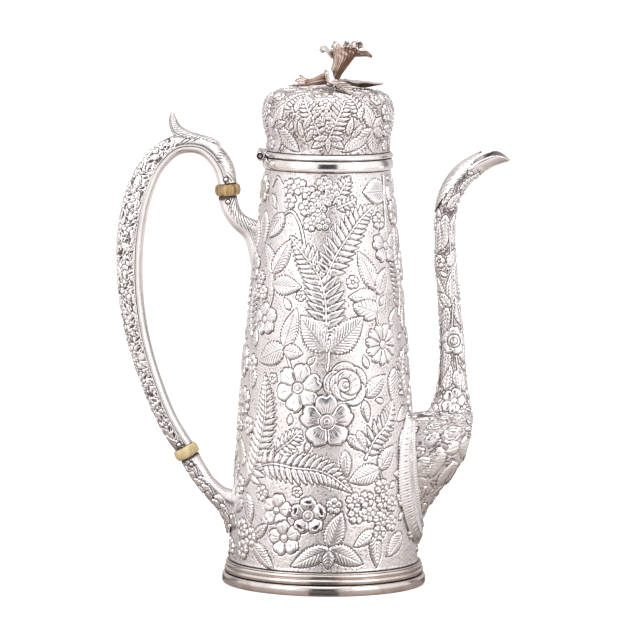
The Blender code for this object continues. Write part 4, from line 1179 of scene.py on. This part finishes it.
def hinge():
    gap = 0.2
    length = (BARREL_LENGTH - 4 * gap) / 5
    # The barrel's ends and the rod's tips carry painted shade, dark in the recess round the rod.
    barrel = [(0.82, 0.5, 1.0), (1.45, 0.5, 1.0), (1.5, 0.1, 0.8), (1.6, 0.0, 0.1), (1.8, 0.15)]
    barrel += [(point[0], length - point[1], *point[2:]) for point in barrel[::-1]]
    knuckles = (("body", "front"), ("lid", "front"), ("body", "middle"), ("lid", "back"), ("body", "back"))
    for i, (owner, part) in enumerate(knuckles):
        base = (HINGE_X, -BARREL_LENGTH / 2 + i * (length + gap), HINGE_Z)
        turned(f"{owner}_{part}_barrel", f"hinge_{owner}_knuckle_{part}", HINGE_PLAIN, barrel,
               owner.replace("body", "pot"), 48, base, (0, 1, 0))
    end = BARREL_LENGTH / 2 + 0.1
    rod = [(0.03, -end + 0.05, 1.0), (0.16, -end, 1.0), (0.24, -end - 0.12), (0.6, -end - 0.1),
           (0.75, -end + 0.1), (0.75, end - 0.1), (0.6, end + 0.1), (0.03, end + 0.15)]
    turned("hinge_rod", "hinge_pin", PLAIN, rod, "pot", 40, (HINGE_X, 0, HINGE_Z), (0, 1, 0), False)
    strap("lid_strap", "hinge_lid_plate", "lid",
          round_profile(2.5, 112, 48) + [(2.3, 1.95), (3.0, 2.25), (3.4, 2.2)],
          round_profile(1.95, 112, 38) + [(2.2, 0.9), (3.0, 0.8), (3.4, 0.8)])
    strap("body_strap", "hinge_body_plate", "pot",
          round_profile(2.45, -118, -48) + [(1.9, -2.6), (2.3, -4.0), (3.0, -5.2), (3.5, -5.4)],
          round_profile(1.95, -118, -38) + [(2.2, -0.9), (3.0, -0.8), (3.4, -0.8), (3.6, -2.0)])


# ---------------------------------------------------------------- finial


def throat(name, node, path, radii, cross, petals, ribs, pale=0.0):
    """A blossom: a ribbed throat along `path`, then a rim of (way, reach, rise, curl) round its mouth."""
    rows, columns, rim_rows = 70, 180, 46
    path = smooth_path(path, rows)
    radius = smooth_path([(r, 10.0 * i) for i, r in enumerate(radii)], 400)
    radius = np.interp(np.linspace(0, 1, rows) * 10 * (len(radii) - 1), radius[:, 1], radius[:, 0])[:, None]
    turn = np.linspace(0, 2 * math.pi, columns, endpoint=False)[None, :]
    main, side = (np.array(a, float) / np.linalg.norm(a) for a in cross)
    up = np.cross(main, side)
    up *= math.copysign(1.0, float(up @ (path[-1] - path[0])))

    def ring(centre, size):
        return centre + main * (size * np.cos(turn))[..., None] + side * (size * np.sin(turn))[..., None]

    ridge = 0.09 * np.cos(ribs * turn)
    values = np.array([*petals, (petals[0][0] + 360.0, *petals[0][1:])])
    at = (np.degrees(turn[0]) - values[0, 0]) % 360 + values[0, 0]
    reach, rise, curl = (np.interp(at, values[:, 0], values[:, k])[None, :] for k in (1, 2, 3))
    u = np.linspace(0.02, 1.0, rim_rows)[:, None]
    ruffle = 0.4 * np.sin(13 * turn + 0.7) * u**2 + 0.2 * np.sin(29 * turn) * u**3
    far = radius[-1] + ridge * (1 - u) + reach * (u - 0.35 * ease(curl, 0, 3) * ease(u, 0.55, 1.0) * u)
    high = rise * np.sin(u * math.pi / 2) - curl * ease(u, 0.45, 1.0) ** 1.3 + ruffle
    outer = np.concatenate([ring(path[:, None], radius + ridge), ring(path[-1], far) + up * high[..., None]])
    way = grid_normals(outer)
    centre = outer - np.concatenate([path, np.repeat(path[-1:], rim_rows, 0)])[:, None]
    way *= np.sign((way * centre).sum(-1).mean())
    inner = (outer - way * 0.4)[::-1]
    line = bump(np.cos(ribs * turn / 2), 0.45)
    share = np.concatenate([np.zeros(rows), u[:, 0]])[:, None]
    patch = np.sin(5 * turn + 4.5 + 5 * share) * np.sin(11 * share + 3 * turn)
    # Painted shadow: the throat's outside is painted brown, lighter towards the rim by `pale`, with chased
    # lines and lighter blotches; inside, painted shade darkens it deeper in the throat.
    shade = 0.44 - pale * ease(share, 0.1, 0.4) + 0.45 * line
    shade = shade - 0.3 * ease(patch, 0.2, 0.9) - 0.4 * bump(share - 1.0, 0.02)
    lines = 0.9 * bump(np.sin(18 * turn), 0.45) * ease(share[::-1], 0.1, 0.3)
    shade = np.concatenate([shade, lines - 0.1 + 0.6 * ease(1 - share[::-1], 0.4, 1.0)])
    grid_piece(name, node, BLOSSOM_SILVER, np.concatenate([outer, inner]), "lid", True, hollow=shade)


def finial():
    hub = [(0.05, -2.4), *swell(2.4, 0.0, 2.4, 2.35, -88, 88, 21), (0.05, 2.4)]
    turned("finial_stalk", "finial_hub", FINIAL_SILVER, hub, "lid", 64, (0.6, 0.0, 235.4), closed=False)
    throat("finial_bell", "finial_upright_blossom",
           [(2.4, 0, 236), (3.2, 0, 238.7), (4.3, 0, 241), (5.8, 0, 244), (7, -0.3, 247.2)],
           [2.5, 2.8, 3.5, 4.1, 5.2], [(1, 0, 0), (0, 1, 0)],
           [(0, 8.6, 0.2, 0.8), (14, 7.4, 2.4, 0.4), (34, 3.8, 4.4, 0.4), (60, 5, 7.2, 0.8),
            (88, 2.4, 4, 0.4), (118, 4.6, 7, 0.8), (146, 2.2, 3.4, 0.6), (178, 1, 2, 0.2),
            (206, 1.2, 2.8, 0.2), (236, 1, 4.2, 0), (272, 0.8, 4.9, 0), (306, 2.6, 4.7, 0.2),
            (330, 4.6, 3.2, 0.2), (347, 8, 2, 0.3)], 23)
    leaf_sheet("finial_petal_left", None, CHASED_LID,
               [(2.6, 0, 247.2, 2.2), (0.6, 0, 250, 3.4), (-1.8, 0, 252.4, 4), (-4, 0, 251.8, 3.8),
                (-4.5, 0, 249.8, 3.2), (-3, 0, 248.7, 2.4), (-1.6, 0, 249.6, 0.8)],
               (0, 1, 0), 1.3, 8, -0.5, 0.25, 0.0, 10, 0.1, 0.2)
    for name, x, y, turn in (("middle", 8.0, 3.6, 0.9), ("far", 13.2, 4.4, -0.9)):
        leaf_sheet(f"finial_petal_{name}", None, CHASED_LID,
                   [(x - 1, y - 2, 247.6, 1.6), (x, y, 250.6, 2.4), (x + 0.6, y + 0.6, 252.4, 2.3),
                    (x + 0.8, y - 0.4, 253.6, 1.6), (x + 0.6, y - 1.6, 253.3, 0.4)],
                   (1, turn, 0), 0.5, 6, -0.3, 0.3, 0.0, 8, 0.1, 0.0)
    throat("finial_trumpet", "finial_side_blossom",
           [(-0.4, 0, 236.6), (-2.6, 0, 236.7), (-4.8, 0, 236.2), (-7.2, 0, 235.5), (-9.4, 0, 234.9)],
           [2.4, 2.7, 2.3, 1.7, 1.7], [(0.1, 0, 1), (0, 1, 0)],
           [(0, 1.6, 4.4, 0.4), (40, 1, 2.6, 0), (80, 2.8, 4.6, 0.4), (112, 1, 2.4, 0), (150, 1.2, 8.4, 0.6),
            (180, 0.6, 5, 0), (212, 1.2, 9.8, 0.6), (248, 1, 3.6, 0), (285, 2.2, 6.4, 0.3), (322, 0.8, 3, 0)],
           11, 0.5)
    leaf_sheet("finial_leaf_front", "finial_front_leaf", CHASED_LID,
               [(0.2, -1, 235.2, 1.4), (-0.3, -2.6, 240, 1.7), (-0.2, -4.2, 241, 1.8), (0, -5.8, 239.2, 1.9),
                (0.8, -7.6, 236.6, 2.4), (3.4, -11, 235.4, 4), (6.6, -16.5, 234.1, 4), (10, -23, 231.6, 0.4)],
               (1, 0.35, 0), 0.6, 6, 0.25, 0.1, 0.0, 9, -0.2)
    leaf_sheet("finial_leaf_right", "finial_right_leaf", FINIAL_SILVER,
               [(2, 0.6, 237.4, 1.5), (6.6, 0.2, 236.2, 2.6), (12, -0.4, 234.9, 4), (18, -0.8, 234.6, 3.6),
                (25.2, -1.2, 235.4, 0.4)], (0, 1, -0.3), 0.7, 12, -0.10, 0.2, 0.0, 12, back=0.6)
    leaf_sheet("finial_leaf_edge", None, CHASED_LID,
               [(5, -2.4, 237, 0.3), (9, -3.6, 236.7, 0.7), (14, -4.4, 236.2, 0.9), (19, -3.8, 235.9, 0.8),
                (25.4, -1.4, 235.6, 0.3)], (0, -1, 0.7), 0.4, 18, 0.1, 0.15, 0.0, 18, 0.0, 0.3)
    leaf_sheet("finial_leaf_back", "finial_back_leaf", FINIAL_SILVER,
               [(0.8, 2, 235.4, 1.4), (4, 8, 236.2, 3.4), (7, 14, 234.9, 3.2), (10, 20.5, 232.9, 0.4)],
               (1, -0.4, 0), 0.6, 11, 0.06, 0.3, 0.0, 11)


bands()
lid_relief()
spout_relief()
spout_skirt()
leaf_sheet("spout_lip_leaf", "spout_leaf", CHASED_SPOUT,
           [(49.9, 0, 175, 1), (51.2, 0, 182, 5.4), (53.8, 0, 188.8, 8.2), (57, 0, 193.7, 9.3),
            (60.7, 0, 197.6, 9.2), (65.6, 0, 200.9, 6.6), (71.5, 0, 204, 0.4)],
           (0, 1, 0), 0.7, 12, 0.0, 0.1, 6.0, 13, body="pot")
handle_relief()
handle_strip()
thumb_relief()
socket_relief("upper_socket", "upper_handle_socket", UPPER_SOCKET, False)
socket_relief("lower_socket", "lower_handle_socket", LOWER_SOCKET, True)
TAN_BONE = old_bone("tan_bone", (0.66, 0.47, 0.22), (0.17, 0.09, 0.035), UPPER_LEAN)
collar("upper_collar", "upper_insulator", TAN_BONE, -46.7, 184.5, UPPER_LEAN)
PALE_BONE = old_bone("pale_bone", (0.83, 0.70, 0.42), (0.58, 0.43, 0.20), LOWER_LEAN)
collar("lower_collar", "lower_insulator", PALE_BONE, -65.0, 61.0, LOWER_LEAN)
rivets()
hinge()
finial()
for node in ("bottom_plate", "finial_stud", "finial_nut"):
    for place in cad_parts[node].material_slots:
        place.material = INSIDE


# ---------------------------------------------------------------- camera, floor and light

CAMERA_DISTANCE = 2.53
CAMERA_LIFT = math.radians(6.25)
CAMERA_AIM = Vector((-4.1, 0.0, 124.8)) * MM
CAMERA_LENS = 306.0
CAMERA_ROLL = math.radians(0.57)


def facing(name, data, place, towards, roll=0.0):
    """A camera or light at a place, looking along `towards`."""
    made = linked(name, data)
    made.location = place
    made.rotation_mode = "QUATERNION"
    made.rotation_quaternion = towards.to_track_quat("-Z", "Y") @ Quaternion((0, 0, 1), roll)
    return made


def camera():
    data = bpy.data.cameras.new("camera")
    data.lens, data.sensor_width = CAMERA_LENS, 36.0
    data.clip_start, data.clip_end = 0.1, 30.0
    towards = Vector((0.0, math.cos(CAMERA_LIFT), -math.sin(CAMERA_LIFT)))
    place = CAMERA_AIM - towards * CAMERA_DISTANCE
    bpy.context.scene.camera = facing("camera", data, place, towards, CAMERA_ROLL)


def dark_gaps(nodes, azimuth):
    """The camera's opening in front, and a softer gap on each side behind."""
    near = nodes.ramp(azimuth, math.radians(15), math.radians(19), 1.0, 0.0)
    side = nodes.times(nodes.ramp(azimuth, math.radians(112), math.radians(118)),
                       nodes.ramp(azimuth, math.radians(132), math.radians(138), 1.0, 0.0))
    return nodes.math("MAXIMUM", near, nodes.times(side, 0.75))


def studio_world():
    """White all round, with the dark gaps between the softboxes that polished silver shows."""
    world = bpy.data.worlds.new("studio")
    world.use_nodes = True
    bpy.context.scene.world = world
    nodes = Nodes(world.node_tree)
    background = world.node_tree.nodes["Background"]
    x, y, z = nodes.feed(nodes.add("ShaderNodeSeparateXYZ"), vector=nodes.place("Generated")).outputs
    azimuth = nodes.math("ABSOLUTE", nodes.math("ARCTAN2", x, nodes.times(y, -1.0)))
    lift = nodes.math("ARCSINE", z)
    band = nodes.times(nodes.ramp(lift, -0.45, -0.38), nodes.ramp(lift, 0.42, 0.5, 1.0, 0.0))
    gap = nodes.times(dark_gaps(nodes, azimuth), band)
    sky = nodes.mix(nodes.ramp(lift, -0.3, 0.12), (0.50, 0.44, 0.43), (1.05, 1.045, 1.04))
    sky = nodes.mix(nodes.ramp(azimuth, math.radians(95), math.radians(160)), sky, (0.60, 0.56, 0.55))
    lit = nodes.mix(gap, sky, (0.05, 0.05, 0.055))
    nodes.feed(background, color=nodes.mix(nodes.camera_ray(), lit, (1.0, 1.0, 1.0)))


def studio_floor():
    mesh = bpy.data.meshes.new("floor")
    mesh.from_pydata([(-6, -6, 0), (6, -6, 0), (6, 6, 0), (-6, 6, 0)], [], [(0, 1, 2, 3)])
    made, nodes, shader, place = new_material("pale_floor")
    far = nodes.feed(nodes.add("ShaderNodeVectorMath", operation="LENGTH"), vector=place).outputs["Value"]
    x, y, _ = nodes.feed(nodes.add("ShaderNodeSeparateXYZ"), vector=place).outputs
    azimuth = nodes.math("ABSOLUTE", nodes.math("ARCTAN2", x, nodes.math("SUBTRACT", -0.024, y)))
    # Painted shade and reflection: to all but camera rays the floor is darker near the pot, with a dark wedge
    # in front of it standing in for the camera's dark opening; the camera sees it white, glowing faintly.
    reach = nodes.times(nodes.ramp(far, 0.047, 0.049), nodes.ramp(far, 0.15, 0.25, 1.0, 0.0))
    reflected = nodes.mix(nodes.ramp(far, 0.08, 0.45), (0.36, 0.30, 0.28), (0.80, 0.77, 0.76))
    reflected = nodes.mix(nodes.times(dark_gaps(nodes, azimuth), reach), reflected, (0.03, 0.03, 0.03))
    seen = nodes.camera_ray()
    nodes.feed(shader, base_color=nodes.mix(seen, reflected, (0.97, 0.97, 0.97)), roughness=0.6,
               emission_color=(1.0, 1.0, 1.0), emission_strength=nodes.times(seen, 0.35))
    mesh.materials.append(made)
    linked("floor", mesh)


def softbox(name, azimuth, lift, distance, width, height, power):
    data = bpy.data.lights.new(name, "AREA")
    data.shape, data.size, data.size_y, data.energy = "RECTANGLE", width, height, power
    a, e = math.radians(azimuth), math.radians(lift)
    place = Vector((math.sin(a) * math.cos(e), -math.cos(a) * math.cos(e), math.sin(e))) * distance
    facing(name, data, place + Vector((0, 0, 0.12)), -place)


camera()
studio_world()
studio_floor()
softbox("softbox_left", -48, 24, 1.6, 0.8, 1.1, 5.5)
softbox("softbox_right", 50, 20, 1.7, 0.8, 1.1, 5.0)
softbox("softbox_top", 10, 78, 1.5, 0.9, 0.9, 5.0)
bpy.context.scene.view_settings.view_transform = "Standard"
